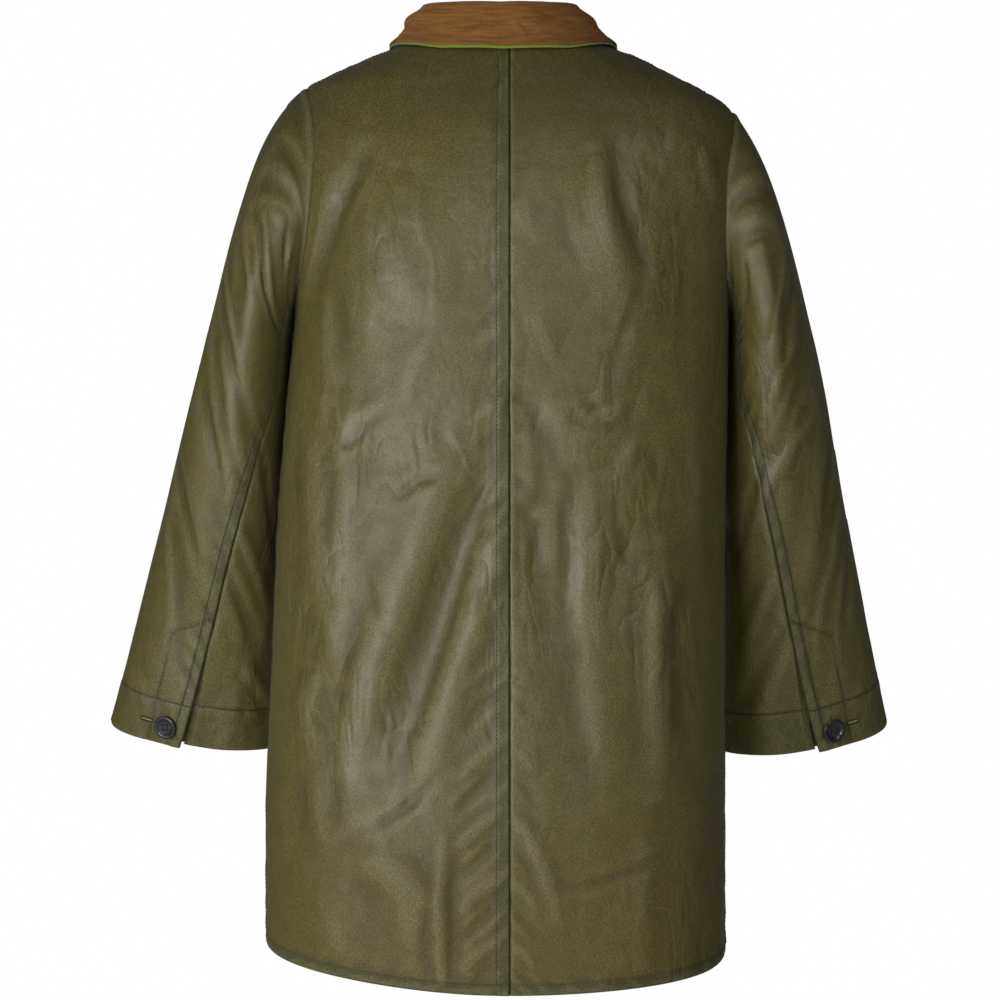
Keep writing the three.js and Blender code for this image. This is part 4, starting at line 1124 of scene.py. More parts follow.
def sleeveGrid(side, upper):
    cap = np.linspace(0, 1, 58)[:-1] ** 0.85 - 1
    cap = np.concatenate([[-1, -0.994, -0.985, -0.974], cap[cap > -0.968]])
    arm = np.linspace(0, 1 - 52 / sleeveLength, 104)
    cuffSteps = np.array([50, 48.4, 47.2, 46.4, 45.6, 44.6, 43, 40, 36, 32, 28, 24, 20, 16, 12, 9, 6.5, 4.5,
                          3, 1.9, 1.1, 0.5, 0])
    along = np.concatenate([cap, arm, 1 - cuffSteps / sleeveLength])
    back, front = backSeamAngle(along), frontSeamAngle(along)
    start = front - 360 if upper else back + ventOpening(along) * 360 / sleeveGirth
    end = back if upper else front
    full = end - start
    width = full * sleeveGirth / 360
    steps = edgeSteps if upper else edgeSteps[:8]
    distance = evenSteps(width, bodyCloth["spacing"], steps, steps, 250 if upper else 168)
    if not upper:
        reach = bodyCloth["underReach"]
        beforeSeam = np.full((len(width), 1), -reach)
        distance = np.concatenate([beforeSeam, distance, width[:, None] + reach], axis=1)
    angle = start[:, None] + distance / width[:, None] * full[:, None]
    return along[:, None], angle, distance


def makeSleevePiece(side, upper):
    along, angle, distance = sleeveGrid(side, upper)
    outer, normal, height, masks = sleeveSurface(side, upper, along, angle)
    depth = bodyCloth["thickness"] + bodyCloth["turnedThickness"] * masks["doubled"]
    inner = outer - normal * depth[..., None]
    name = ("top_sleeve_" if upper else "under_sleeve_") + sideNames[side]
    clothPlace = np.stack(np.broadcast_arrays(distance, downSleeve(along)), -1)
    masks["ridge"] = ridgeMask(height)
    piece = makeShell("cloth_" + name, outer, inner, clothPlace, masks, [waxedCloth, clothInside],
                      side == right)
    dressAs(piece, "waxed_cotton", name)


def makeUnderlap(side):
    c = cuff
    along = np.linspace(ventTop + 0.01, 0.996, 40)[:, None]
    across = np.linspace(-c["lapWidth"], c["tuck"], 16)[None, :]
    angle = backSeamAngle(along) + across * 360 / sleeveGirth
    normal = sleeveNormal(side, along, angle)
    opened = smooth(along, ventTop, 1)
    wave = 0.5 * softNoise(along * 22, across / 14, 71 + side)
    depth = 3.2 + c["sink"] * opened + wave
    outer = sleevePoint(side, along, angle) - normal * depth[..., None]
    inner = outer - normal * 1.6
    clothPlace = np.stack(np.broadcast_arrays(across, along * sleeveLength), -1)
    flat = np.zeros(outer.shape[:2])
    name = "vent_underlap_" + sideNames[side]
    # The ridge mask at -1 and the doubled mask at 1 paint the underlap with the crease and doubled colours:
    # painted shade of the vent's recess.
    masks = {"ridge": flat - 1, "doubled": flat + 1, "seam": flat}
    piece = makeShell("cloth_" + name, outer, inner, clothPlace, masks, [waxedCloth, clothInside],
                      side == right)
    dressAs(piece, "waxed_cotton", name)


for side in (left, right):
    for upper in (True, False):
        makeSleevePiece(side, upper)
    makeUnderlap(side)
print("sleeves made")

# The collar
collarCut = table(
    "share seam fold foldRadius foldZ edge edgeRadius edgeZ",
    (0, 0, 0, 65, 28, 0, 92, -13),
    (0.2, 38, 38, 65, 30, 38, 96, -10),
    (0.4, 78, 78, 66, 33, 76, 100, -2),
    (0.6, 112, 112, 66, 23, 106, 104, -4),
    (0.8, 144, 146, 72, -14, 130, 120, -48),
    (1, 173, 173, 86, -58, 150, 130, -117),
)
collar = {
    "thickness": 2.2, "underThickness": 1.2, "underShow": 1.2, "underGap": 0.3, "seamLift": 1.2,
    "roll": 3.4, "lean": 3, "fallSteps": 4, "clearance": 4.1, "stations": 240, "steps": 66,
    "pressedLine": 10, "pressedDepth": 0.35, "pressedWidth": 2.2, "wave": 0.25,
}


def neckPoint(turn):
    return torsoPoint(*neckPlace(turn))


def clearOfBody(p, clearance):
    angle = np.degrees(np.arctan2(p[..., 0], -p[..., 1]))
    outward = torsoNormal(angle, p[..., 2])
    across = np.hypot(p[..., 0], p[..., 1])
    radial = np.stack([p[..., 0] / across, p[..., 1] / across, np.zeros_like(across)], -1)
    distance = (across - torsoRadius(angle, p[..., 2])) * (outward * radial).sum(-1)
    return p + outward * np.maximum(clearance - distance, 0)[..., None]


# The middle of the collar's cloth: up the stand, over the roll and down the fall.
def collarPaths(side, share):
    c = collar

    def plan(angle, radius, z):
        return points(side * radius * sinDegrees(angle), -radius * cosDegrees(angle), z)

    seamTurn, foldAngle, foldRadius, foldZ, edgeAngle, edgeRadius, edgeZ = (
        column(collarCut, "share", name, share)
        for name in ("seam", "fold", "foldRadius", "foldZ", "edge", "edgeRadius", "edgeZ"))
    turn = side * seamTurn
    outOfNeck = torsoNormal(*neckPlace(turn))
    up = unit(np.cross(neckPoint(turn + 1) - neckPoint(turn - 1), outOfNeck))
    seam = neckPoint(turn) - outOfNeck + up * np.sign(up[:, 2:]) * c["seamLift"]
    fold = plan(foldAngle, foldRadius, foldZ)
    edge = plan(edgeAngle, edgeRadius, edgeZ) + np.array((c["lean"], 0, 0))
    outward = unit((edge - seam) * np.array((1, 1, 0)))
    below = np.array((0, 0, c["roll"]))
    fallTop = fold + 2 * c["roll"] * outward - below
    path = [seam, mix(seam, fold - below, 0.5), fold - below, fold + c["roll"] * outward, fallTop]
    for k in range(c["fallSteps"]):
        down = (k + 1) / c["fallSteps"]
        path.append(clearOfBody(mix(fallTop, edge, down), c["clearance"] + down))
    return np.stack(path, axis=1)


# Smooth curve through the points of each path, evenly stepped by the paths' mean length.
def smoothPaths(path, steps):
    length = np.linalg.norm(np.diff(path, axis=1), axis=2).mean(axis=0)
    t = np.concatenate([[0], np.cumsum(length)])
    slope = np.empty_like(path)
    slope[:, 1:-1] = (path[:, 2:] - path[:, :-2]) / (t[2:] - t[:-2])[:, None]
    slope[:, 0] = (path[:, 1] - path[:, 0]) / length[0]
    slope[:, -1] = (path[:, -1] - path[:, -2]) / length[-1]
    at = np.linspace(0, t[-1], steps)
    i = np.clip(np.searchsorted(t, at) - 1, 0, len(t) - 2)
    share, step = ((at - t[i]) / length[i])[:, None], length[i][:, None]
    return hermite(share, path[:, i], slope[:, i] * step, path[:, i + 1], slope[:, i + 1] * step), at, t


def visibleWay(grid):
    round_ = np.gradient(grid, axis=0)
    along = np.gradient(grid, axis=1)
    return unit(np.cross(along, round_))


def collarGrid():
    share = np.linspace(-1, 1, collar["stations"])
    half = len(share) // 2
    paths = np.concatenate([collarPaths(left, -share[:half]), collarPaths(right, share[half:])])
    return smoothPaths(paths, collar["steps"])


def roundedEdge(distance, half):
    inside = np.clip(1 - distance / (1.3 * half), 0, 1)
    return np.sqrt(np.maximum(1 - inside**2, 0.06))


def makeCollar():
    c = collar
    grid, at, knots = collarGrid()
    visible = visibleWay(grid)
    around = np.linalg.norm(np.diff(grid[:, -20], axis=0), axis=-1)
    u = np.concatenate([[0], np.cumsum(around)])[:, None]
    fromEdge = (at[-1] - at)[None, :]
    fromFront = np.minimum(u, u[-1] - u)
    onFall = smooth(at[None, :], knots[4], knots[4] + 12)
    wave = c["wave"] * (softNoise(u / 34, fromEdge / 28, 81) + softNoise(u / 11, fromEdge / 12, 83))
    wave = wave * (0.35 + 0.65 * onFall)
    pressed = -c["pressedDepth"] * bell(fromEdge - c["pressedLine"], c["pressedWidth"]) * onFall
    creased = foldSum(((u[-1, 0] / 2 + 16, 30, u[-1, 0] / 2 + 24, 12, 2.4, -1.0, 0),), u, fromEdge)
    height = wave + pressed + creased * onFall
    near = np.minimum(fromEdge, fromFront)
    half = c["thickness"] / 2 * roundedEdge(near, c["thickness"] / 2)
    middle = grid + visible * height[..., None]
    outer, inner = middle + visible * half[..., None], middle - visible * half[..., None]
    clothPlace = np.stack(np.broadcast_arrays(u, at[None, :]), -1)
    masks = {"ridge": ridgeMask(height, strong=0.2), "edge": 1 - smooth(fromEdge + 0 * u, 1, 9)}
    piece = makeShell("collar_cord", outer, inner, clothPlace, masks, [corduroy])
    dressAs(piece, "corduroy", "collar")

    start = np.searchsorted(at, knots[4])
    tail = middle[:, start:]
    past = tail[:, -1] + unit(tail[:, -1] - tail[:, -2]) * c["underShow"]
    under = np.concatenate([tail, past[:, None]], axis=1)
    way = np.concatenate([visible[:, start:], visible[:, -1:]], axis=1)
    near = c["thickness"] / 2 + c["underGap"]
    outer, inner = under - way * near, under - way * (near + c["underThickness"])
    flat = np.zeros(outer.shape[:2])
    place = np.concatenate([clothPlace[:, start:], clothPlace[:, -1:]], axis=1)
    backing = makeShell("collar_backing", outer, inner, place, {"ridge": flat}, [greenCloth])
    dressAs(backing, "green_cloth", "under_collar")


def makeCordWalesGroup():
    group, source, result = newGroup(
        "cordWales",
        [("Cloth Place", "NodeSocketVector", (0, 0, 0)), ("Wales per Metre", "NodeSocketFloat", 480.0)],
        [("Wale", "NodeSocketFloat"), ("Pile", "NodeSocketFloat"), ("Streaks", "NodeSocketFloat")])
    place = source.outputs["Cloth Place"]
    parts = addNode(group, "ShaderNodeSeparateXYZ")
    group.links.new(place, parts.inputs[0])
    drift = mathNode(group, "MULTIPLY", noiseNode(group, place, 60, 2), 1.4)
    phase = addNode(group, "ShaderNodeMath", {"operation": "MULTIPLY_ADD"})
    group.links.new(parts.outputs[0], phase.inputs[0])
    group.links.new(source.outputs["Wales per Metre"], phase.inputs[1])
    group.links.new(drift, phase.inputs[2])
    wave = mathNode(group, "SINE", mathNode(group, "MULTIPLY", phase.outputs[0], 2 * math.pi))
    wale = mathNode(group, "MULTIPLY_ADD", wave, 0.5)
    group.nodes[-1].inputs[2].default_value = 0.5
    group.links.new(mathNode(group, "POWER", wale, 0.6), result.inputs["Wale"])
    group.links.new(noiseNode(group, place, 2600, 3, 0.7), result.inputs["Pile"])
    streaks = addNode(group, "ShaderNodeMapping")
    streaks.inputs["Scale"].default_value = (0.12, 1.0, 1.0)
    group.links.new(place, streaks.inputs["Vector"])
    group.links.new(noiseNode(group, streaks.outputs[0], 260, 4, 0.65), result.inputs["Streaks"])
    return group


def makeCorduroy(look):
    material = bpy.data.materials.new("corduroy")
    material.use_nodes = True
    tree = material.node_tree
    shader = tree.nodes["Principled BSDF"]
    uv = addNode(tree, "ShaderNodeUVMap", {"uv_map": "cloth"})
    cord = addNode(tree, "ShaderNodeGroup", {"node_tree": cordGroup})
    tree.links.new(uv.outputs[0], cord.inputs["Cloth Place"])
    edge = addNode(tree, "ShaderNodeAttribute", {"attribute_name": "edge"})
    ridge = addNode(tree, "ShaderNodeAttribute", {"attribute_name": "ridge"})
    colour = mixColour(tree, cord.outputs["Wale"], look["furrow"], look["pile"])
    streaks = mathNode(tree, "MULTIPLY", rangeNode(tree, cord.outputs["Streaks"], 0.35, 0.65),
                       look["streakStrength"])
    colour = mixColour(tree, streaks, colour, look["faded"])
    colour = mixColour(tree, mathNode(tree, "MULTIPLY", edge.outputs["Fac"], look["edgeStrength"]),
                       colour, look["furrow"])
    worn = mathNode(tree, "MULTIPLY", rangeNode(tree, ridge.outputs["Fac"], 0.1, 1.0),
                    look["wornStrength"])
    colour = mixColour(tree, worn, colour, look["faded"])
    tree.links.new(colour, shader.inputs["Base Color"])
    shader.inputs["Roughness"].default_value = 0.9
    shader.inputs["Specular IOR Level"].default_value = 0.25
    shader.inputs["Sheen Weight"].default_value = look["sheen"]
    shader.inputs["Sheen Roughness"].default_value = 0.4
    shader.inputs["Sheen Tint"].default_value = look["sheenTint"]
    height = mathNode(tree, "ADD", cord.outputs["Wale"],
                      mathNode(tree, "MULTIPLY", cord.outputs["Pile"], 0.5))
    bump = addNode(tree, "ShaderNodeBump")
    bump.inputs["Strength"].default_value = look["bump"]
    bump.inputs["Distance"].default_value = 0.0006
    tree.links.new(height, bump.inputs["Height"])
    tree.links.new(bump.outputs[0], shader.inputs["Normal"])
    return material


def makePlainCloth(name, look):
    material = bpy.data.materials.new(name)
    material.use_nodes = True
    tree = material.node_tree
    shader = tree.nodes["Principled BSDF"]
    place = addNode(tree, "ShaderNodeTexCoord")
    uneven = noiseNode(tree, place.outputs["Object"], look["grain"], 4, 0.6)
    colour = mixColour(tree, rangeNode(tree, uneven, 0.3, 0.7), look["dark"], look["light"])
    tree.links.new(colour, shader.inputs["Base Color"])
    shader.inputs["Roughness"].default_value = look["roughness"]
    shader.inputs["Sheen Weight"].default_value = look["sheen"]
    bump = addNode(tree, "ShaderNodeBump")
    bump.inputs["Strength"].default_value = 0.5
    bump.inputs["Distance"].default_value = 0.0003
    tree.links.new(uneven, bump.inputs["Height"])
    tree.links.new(bump.outputs[0], shader.inputs["Normal"])
    return material


cordGroup = makeCordWalesGroup()
corduroy = makeCorduroy({
    "pile": colourOf("805225"), "furrow": colourOf("643F1D"), "faded": colourOf("9C6E3B"),
    "sheen": 0.35, "sheenTint": colourOf("B98A5A"), "streakStrength": 0.6, "edgeStrength": 0.4,
    "wornStrength": 0.3, "bump": 0.4,
})
greenCloth = makePlainCloth("greenCloth", {
    "dark": colourOf("6B7A22"), "light": colourOf("8C9A2E"), "grain": 900, "roughness": 0.8, "sheen": 0.2,
})
threadCloth = makePlainCloth("sewingThread", {
    "dark": colourOf("15160F"), "light": colourOf("272820"), "grain": 2400, "roughness": 0.6, "sheen": 0.1,
})
makeCollar()
print("collar made")

# Sewing thread: each stitch is a short rounded strand that dips into the cloth at its ends.
stitching = {"pitch": 3.6, "length": 2.7, "radius": 0.36, "sides": 5, "sink": 0.3, "rise": 0.16}
# Rings of a stitch: share of its length, share of its radius, and how far it is lifted or sunk.
stitchRings = ((0, 0.5, -1), (0.16, 1, 0.6), (0.5, 1.05, 1), (0.84, 1, 0.6), (1, 0.5, -1))


def makeStrands(name, starts, ends, normals, radius):
    count, sides = len(starts), stitching["sides"]
    along = ends - starts
    aside = unit(np.cross(along, normals))
    up = unit(np.cross(aside, along))
    turn = np.arange(sides) * 2 * np.pi / sides
    ring = aside[:, None, :] * np.cos(turn)[None, :, None] + up[:, None, :] * np.sin(turn)[None, :, None]
    rings = []
    for share, size, lift in stitchRings:
        rise = (stitching["rise"] if lift > 0 else stitching["sink"]) * lift
        middle = starts + along * share + up * rise
        rings.append(middle[:, None, :] + ring * radius * size)
    co = np.stack(rings, axis=1).reshape(-1, 3) * mm
    last = len(stitchRings) - 1
    base = (np.arange(count) * len(stitchRings) * sides)[:, None, None]
    a = np.arange(last)[:, None] * sides + np.arange(sides)[None, :]
    b = np.arange(last)[:, None] * sides + (np.arange(sides)[None, :] + 1) % sides
    walls = np.stack([a, b, b + sides, a + sides], -1).reshape(1, -1, 4) + base
    caps = np.stack([np.arange(sides)[::-1], np.arange(sides) + last * sides])[None] + base
    faces = walls.reshape(-1, 4).tolist() + caps.reshape(-1, sides).tolist()
    mesh = bpy.data.meshes.new(name)
    mesh.from_pydata(co.tolist(), [], faces)
    mesh.materials.append(threadCloth)
    addObject(name, mesh, 80)


def stitchesAlong(line, normal, pitch=stitching["pitch"], length=stitching["length"]):
    s = np.concatenate([[0], np.cumsum(np.linalg.norm(np.diff(line, axis=0), axis=1))])
    begin = np.arange(pitch, s[-1] - pitch, pitch)

    def at(place, values):
        return np.stack([np.interp(place, s, values[:, k]) for k in range(3)], -1)

    return at(begin, line), at(begin + length, line), unit(at(begin + length / 2, normal))


def onPanel(side, back, share, level):
    share, level = np.broadcast_arrays(share, level)
    width = panelWidth(side, back, level.ravel())[:, None]
    outer, normal, height, masks = panelSurface(side, back, share[:, None], level[:, None], width)
    return outer[:, 0], normal[:, 0]


def panelStitches(side, back, levels, distance, fromSide=False):
    share = distance / panelWidth(side, back, levels)
    return stitchesAlong(*onPanel(side, back, 1 - share if fromSide else share, levels))


def onSleeve(side, upper, along, angle):
    along, angle = np.broadcast_arrays(along, angle)
    outer, normal, height, masks = sleeveSurface(side, upper, along[:, None], angle[:, None])
    return outer[:, 0], normal[:, 0]


def sleeveStitches(side, upper, along, angle):
    return stitchesAlong(*onSleeve(side, upper, along, angle))


def joinStrands(*groups):
    return [np.concatenate(parts) for parts in zip(*groups)]


def makeBodyStitching():
    low, all_ = np.linspace(0.01, 0.98, 260), np.linspace(0.01, 2.97, 700)
    top = np.linspace(2.04, 2.96, 60)
    strip, hem = bodyCloth["strip"], bodyCloth["hemBand"] / sideLength
    groups = [panelStitches(left, True, all_, strip)]
    groups.append(panelStitches(left, False, np.linspace(0.01, 2.9, 700), bodyCloth["frontStitch"]))
    for side in (left, right):
        groups.append(panelStitches(side, True, low, strip, True))
        groups.append(panelStitches(side, True, top, strip, True))
        for back in (True, False):
            share = np.linspace(0.01, 0.99, 200)
            groups.append(stitchesAlong(*onPanel(side, back, share, np.full(200, hem))))
    makeStrands("stitching_body", *joinStrands(*groups), stitching["radius"])


def degreesFor(side, along, angle, distance):
    return distance / perDegree(side, along, angle)


def makeSleeveStitching(side):
    along = np.linspace(-0.985, 0.992, 500)
    back, front = backSeamAngle(along), frontSeamAngle(along) - 360
    groups = [
        sleeveStitches(side, True, along, back - degreesFor(side, along, back, cuff["strip"])),
        sleeveStitches(side, True, along, front + degreesFor(side, along, front, cuff["strip"])),
    ]
    place, angle = [], []
    for (along0, angle0), (along1, angle1) in zip(facingLine[:-1], facingLine[1:]):
        place.append(np.linspace(along0, along1, 40)[:-1])
        angle.append(np.linspace(angle0, angle1, 40)[:-1])
    groups.append(sleeveStitches(side, True, np.concatenate(place), np.concatenate(angle)))
    at = 1 - cuff["band"] / sleeveLength
    back, front = float(backSeamAngle(at)), float(frontSeamAngle(at))
    groups.append(sleeveStitches(side, True, np.full(300, at), np.linspace(front - 359, back - 1, 300)))
    groups.append(sleeveStitches(side, False, np.full(200, at), np.linspace(back + 1, front - 1, 200)))
    makeStrands("stitching_sleeve_" + sideNames[side], *joinStrands(*groups), stitching["radius"])


makeBodyStitching()
for side in (left, right):
    makeSleeveStitching(side)
print("stitching made")

# Buttons
button = {
    "cuffDiameter": 22, "frontDiameter": 25, "thickness": 3.6, "standOff": 0.6,
    "hole": 1.15, "holeDepth": 1.7, "holeSpread": 0.2, "segments": 72, "strand": 0.36,
    "frontFirst": -102, "frontSpacing": 118, "frontCount": 5,
    "cuffFromEdge": 15, "cuffFromEnd": 21,
}
buttonProfile = np.array([
    (0.58, 0.6), (0.64, 0.76), (0.72, 0.93), (0.82, 1), (0.91, 0.98), (0.985, 0.84), (1, 0.66),
    (0.985, 0.48), (0.9, 0.24), (0.78, 0.04), (0.66, 0), (0.4, 0),
])


def makeHorn(look):
    material = bpy.data.materials.new("buttonHorn")
    material.use_nodes = True
    tree = material.node_tree
    shader = tree.nodes["Principled BSDF"]
    place = addNode(tree, "ShaderNodeTexCoord")
    stretched = addNode(tree, "ShaderNodeMapping")
    stretched.inputs["Scale"].default_value = (1.0, 0.3, 1.0)
    tree.links.new(place.outputs["Object"], stretched.inputs["Vector"])
    vein = noiseNode(tree, stretched.outputs[0], 240, 5, 0.6, 1.2)
    tree.links.new(mixColour(tree, rangeNode(tree, vein, 0.45, 0.7), look["dark"], look["vein"]),
                   shader.inputs["Base Color"])
    rough = noiseNode(tree, place.outputs["Object"], 900, 3)
    tree.links.new(rangeNode(tree, rough, 0.3, 0.7, 0.22, 0.36), shader.inputs["Roughness"])
    shader.inputs["Coat Weight"].default_value = 0.3
    shader.inputs["Coat Roughness"].default_value = 0.2
    bump = addNode(tree, "ShaderNodeBump")
    bump.inputs["Strength"].default_value = 0.12
    bump.inputs["Distance"].default_value = 0.0003
    tree.links.new(rough, bump.inputs["Height"])
    tree.links.new(bump.outputs[0], shader.inputs["Normal"])
    return material


buttonHorn = makeHorn({"dark": colourOf("17171C"), "vein": colourOf("2B2A2E")})


def buttonFrame(outward):
    side = unit(np.cross(np.array((0.0, 0, 1)), outward))
    return side, np.cross(outward, side)


def makeButton(name, diameter, place, outward):
    r, t = diameter / 2, button["thickness"]
    dish = np.linspace(0.02, 0.56, 26)
    top = np.stack([dish, np.full(26, 0.58)], -1)
    rim = smoothPaths(buttonProfile[None], 44)[0][0]
    profile = np.concatenate([top, rim]) * np.array((r, t))
    turn = np.arange(button["segments"]) * 2 * np.pi / button["segments"]
    x = profile[:, :1] * np.cos(turn)
    y = profile[:, :1] * np.sin(turn)
    z = np.repeat(profile[:, 1:], len(turn), axis=1)
    spread = r * button["holeSpread"]
    away = np.hypot(np.abs(x) - spread, np.abs(y) - spread)
    pit = 1 - smooth(away, button["hole"] - 0.3, button["hole"] + 0.05)
    z[:26] -= button["holeDepth"] * pit[:26]
    side, up = buttonFrame(outward)
    grid = place + outward * button["standOff"]
    grid = grid + x[..., None] * side + y[..., None] * up + z[..., None] * outward
    count, segments = len(profile), len(turn)
    index = np.arange(count * segments).reshape(count, segments)
    following = np.roll(index, -1, axis=1)
    quads = np.stack([index[:-1], index[1:], following[1:], following[:-1]], -1).reshape(-1, 4)
    mesh = bpy.data.meshes.new(name)
    faces = quads.tolist() + [index[0].tolist(), index[-1][::-1].tolist()]
    mesh.from_pydata((grid.reshape(-1, 3) * mm).tolist(), [], faces)
    mesh.materials.append(buttonHorn)
    dressAs(addObject("horn_" + name, mesh, 40), "button", name)


# Thread through the four holes and the wound shank that carries the button.
def buttonThread(diameter, place, outward):
    side, up = buttonFrame(outward)
    spread = diameter / 2 * button["holeSpread"]
    seat = place + outward * (button["standOff"] + 0.58 * button["thickness"] + 0.1)
    starts, ends = [], []
    for across in (-1, 1):
        for offset in (-0.34, 0.34):
            middle = seat + up * (across * spread + offset)
            starts.append(middle - side * (spread + 0.5))
            ends.append(middle + side * (spread + 0.5))
    for turn in np.arange(6) * np.pi / 3:
        foot = place + 1.1 * (side * math.cos(turn) + up * math.sin(turn)) - outward * 0.8
        starts.append(foot)
        ends.append(foot + outward * 1.9)
    normals = np.array([outward] * 4 + [side] * 6)
    return np.array(starts), np.array(ends), normals


def frontButtonSpots():
    spots = []
    for i in range(button["frontCount"]):
        z = button["frontFirst"] - i * button["frontSpacing"]
        angle = np.array(180.0)
        outward = torsoNormal(angle, np.array(float(z)))
        spots.append((f"front_button_{i + 1}", button["frontDiameter"], torsoPoint(angle, z), outward))
    return spots


def cuffButtonSpot(side):
    along = 1 - button["cuffFromEnd"] / sleeveLength
    angle = float(backSeamAngle(along)) - button["cuffFromEdge"] * 360 / sleeveGirth
    across = button["cuffDiameter"] / 2 * 360 / sleeveGirth
    down = button["cuffDiameter"] / 2 / sleeveLength
    u, v = np.meshgrid(np.linspace(-1, 1, 9), np.linspace(-1, 1, 9))
    inside = np.hypot(u, v) <= 1.01
    p = sleeveSurface(side, True, along + v * down, angle + u * across)[0]
    outward = unit(np.cross(p[4, 8] - p[4, 0], p[8, 4] - p[0, 4]) * side)
    height = ((p - p[4, 4]) @ outward)[inside].max()
    return "cuff_button_" + sideNames[side], button["cuffDiameter"], p[4, 4] + outward * height, outward


# Buttonhole: a slit of the green cloth between two rows of close dark stitches.
buttonhole = {
    "slit": 1.3, "bead": 1.9, "pitch": 0.78, "lift": 0.1,
    "frontX": (-26, 2), "cuffAngles": (49.5, 58.5), "cuffAlong": 0.942,
}


def buttonholeStrands(line, normal):
    s = np.concatenate([[0], np.cumsum(np.linalg.norm(np.diff(line, axis=0), axis=1))])
    at = np.arange(0, s[-1], buttonhole["pitch"])
    middle = np.stack([np.interp(at, s, line[:, k]) for k in range(3)], -1)
    up = unit(np.stack([np.interp(at, s, normal[:, k]) for k in range(3)], -1))
    aside = unit(np.cross(np.gradient(middle, axis=0), up))
    starts, ends = [], []
    for way in (-1, 1):
        starts.append(middle + way * aside * buttonhole["slit"] / 2 + up * buttonhole["lift"])
        ends.append(middle + way * aside * (buttonhole["slit"] / 2 + buttonhole["bead"]))
    for end in (0, -1):
        reach = buttonhole["slit"] / 2 + buttonhole["bead"]
        for step in (0, 0.6):
            shift = unit(middle[end] - middle[len(at) // 2]) * step
            starts.append(middle[end][None] - aside[end] * reach + shift)
            ends.append(middle[end][None] + aside[end] * reach + shift)
    normals = np.concatenate([up, up] + [up[:1]] * 2 + [up[-1:]] * 2)
    return np.concatenate(starts), np.concatenate(ends), normals


def slitCloth(name, line, normal):
    along = unit(np.gradient(line, axis=0))
    aside = np.cross(along, normal)
    across = np.linspace(-0.5, 0.5, 5)[None, :, None] * buttonhole["slit"]
    outer = line[:, None, :] + aside[:, None, :] * across + normal[:, None, :] * 0.12
    inner = outer - normal[:, None, :] * 0.5
    flat = np.zeros(outer.shape[:2])
    place = np.stack([np.repeat(flat[:, :1], 5, 1), flat], -1)
    makeShell(name, outer, inner, place, {"ridge": flat}, [greenCloth])


def makeFastenings():
    strands, slits = [], []
    spots = frontButtonSpots() + [cuffButtonSpot(side) for side in (left, right)]
    for name, diameter, place, outward in spots:
        makeButton(name, diameter, place, outward)
        strands.append(buttonThread(diameter, place, outward))
    for name, diameter, place, outward in frontButtonSpots():
        x = np.linspace(*buttonhole["frontX"], 24)
        z = np.full(24, place[2])
        angle = 180 - np.degrees(np.arctan2(x, column(torso, "level", "front", z)))
        line, normal = frontLapSurface(angle, z)
        slits.append((name.replace("button", "buttonhole"), line, normal))
    for side in (left, right):
        angle = np.linspace(*buttonhole["cuffAngles"], 16)
        line, normal = onSleeve(side, True, np.full(16, buttonhole["cuffAlong"]), angle)
        slits.append(("cuff_buttonhole_" + sideNames[side], line, normal))
    for name, line, normal in slits:
        slitCloth(name, line, normal)
        strands.append(buttonholeStrands(line, normal))
    starts, ends, normals = joinStrands(*strands)
    makeStrands("stitching_fastenings", starts, ends, normals, button["strand"])


# Surface of the front that lies on top, near its buttons.
def frontLapSurface(angle, z):
    p = torsoPoint(angle, z)
    return p + torsoNormal(angle, z) * 0.1, torsoNormal(angle, z)


makeFastenings()
print("buttons made")
# Studio
studio = {
    "cameraDistance": 3.0, "cameraHeight": -0.4095, "lens": 120,
    "floor": -1.45, "floorRadius": 3.8,
    "ambient": 0.065,
}
# Soft boxes: place, what each one faces, breadth and height in metres, and power in watts.
softboxes = {
    "keyLight": ((-1.5, -2.5, -0.48), (0, 0, -0.4), (1.7, 1.1), 56),
    "fillLight": ((1.05, -2.8, 0.8), (0, 0, -0.4), (1.3, 1.3), 24),
    "sideLight": ((-2.7, -1.35, -0.45), (0, 0, -0.45), (0.9, 1.3), 7),
    "frontLight": ((0, 3.2, -1.2), (0, 0, -0.45), (1.4, 0.4), 60),
}


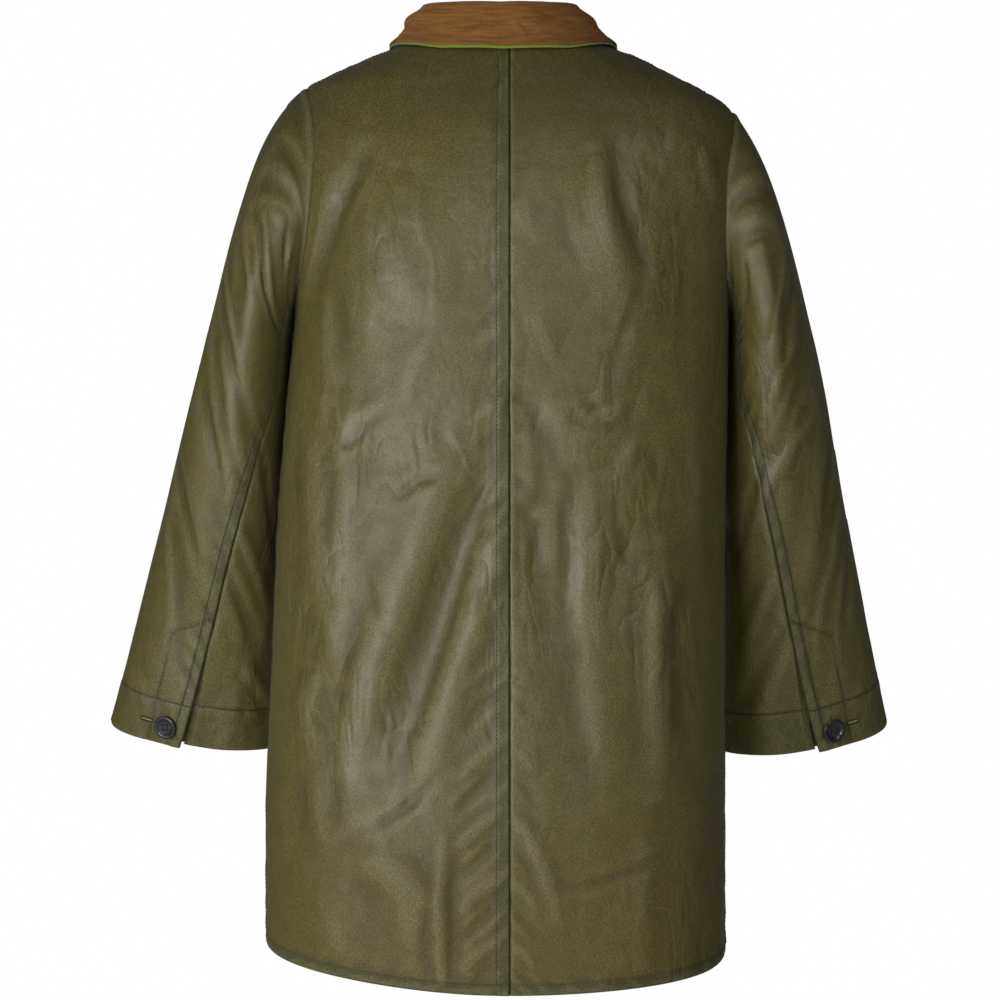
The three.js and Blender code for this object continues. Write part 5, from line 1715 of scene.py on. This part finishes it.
def addCamera():
    data = bpy.data.cameras.new("camera")
    data.lens = studio["lens"]
    data.sensor_width = 36
    camera = bpy.data.objects.new("camera", data)
    camera.location = (0, -studio["cameraDistance"], studio["cameraHeight"])
    camera.rotation_euler = (math.radians(90), 0, 0)
    bpy.context.scene.collection.objects.link(camera)
    bpy.context.scene.camera = camera


def addSoftbox(name, place, target, size, power):
    data = bpy.data.lights.new(name, "AREA")
    data.shape = "RECTANGLE"
    data.size, data.size_y = size
    data.energy = power
    light = bpy.data.objects.new(name, data)
    light.location = place
    light.rotation_euler = (Vector(target) - Vector(place)).to_track_quat("-Z", "Y").to_euler()
    bpy.context.scene.collection.objects.link(light)


def addFloor():
    mesh = bpy.data.meshes.new("floor")
    count = 96
    turns = [i * 2 * math.pi / count for i in range(count)]
    rim = [(studio["floorRadius"] * math.cos(turn), studio["floorRadius"] * math.sin(turn),
            studio["floor"]) for turn in turns]
    mesh.from_pydata(rim, [], [list(range(count))])
    material = bpy.data.materials.new("paleFloor")
    material.use_nodes = True
    shader = material.node_tree.nodes["Principled BSDF"]
    shader.inputs["Base Color"].default_value = (0.82, 0.82, 0.81, 1)
    shader.inputs["Roughness"].default_value = 0.9
    mesh.materials.append(material)
    floor = bpy.data.objects.new("floor", mesh)
    bpy.context.scene.collection.objects.link(floor)


def lightWorld():
    world = bpy.data.worlds.new("studio")
    world.use_nodes = True
    tree = world.node_tree
    tree.nodes.clear()
    path = tree.nodes.new("ShaderNodeLightPath")
    around, seen = tree.nodes.new("ShaderNodeBackground"), tree.nodes.new("ShaderNodeBackground")
    around.inputs[0].default_value = (studio["ambient"], studio["ambient"], studio["ambient"] * 1.03, 1)
    seen.inputs[0].default_value = (1, 1, 1, 1)
    choose, output = tree.nodes.new("ShaderNodeMixShader"), tree.nodes.new("ShaderNodeOutputWorld")
    tree.links.new(path.outputs["Is Camera Ray"], choose.inputs[0])
    tree.links.new(around.outputs[0], choose.inputs[1])
    tree.links.new(seen.outputs[0], choose.inputs[2])
    tree.links.new(choose.outputs[0], output.inputs[0])
    bpy.context.scene.world = world


addCamera()
for name, box in softboxes.items():
    addSoftbox(name, *box)
addFloor()
lightWorld()
bpy.context.scene.view_settings.view_transform = "Standard"
print("studio made")
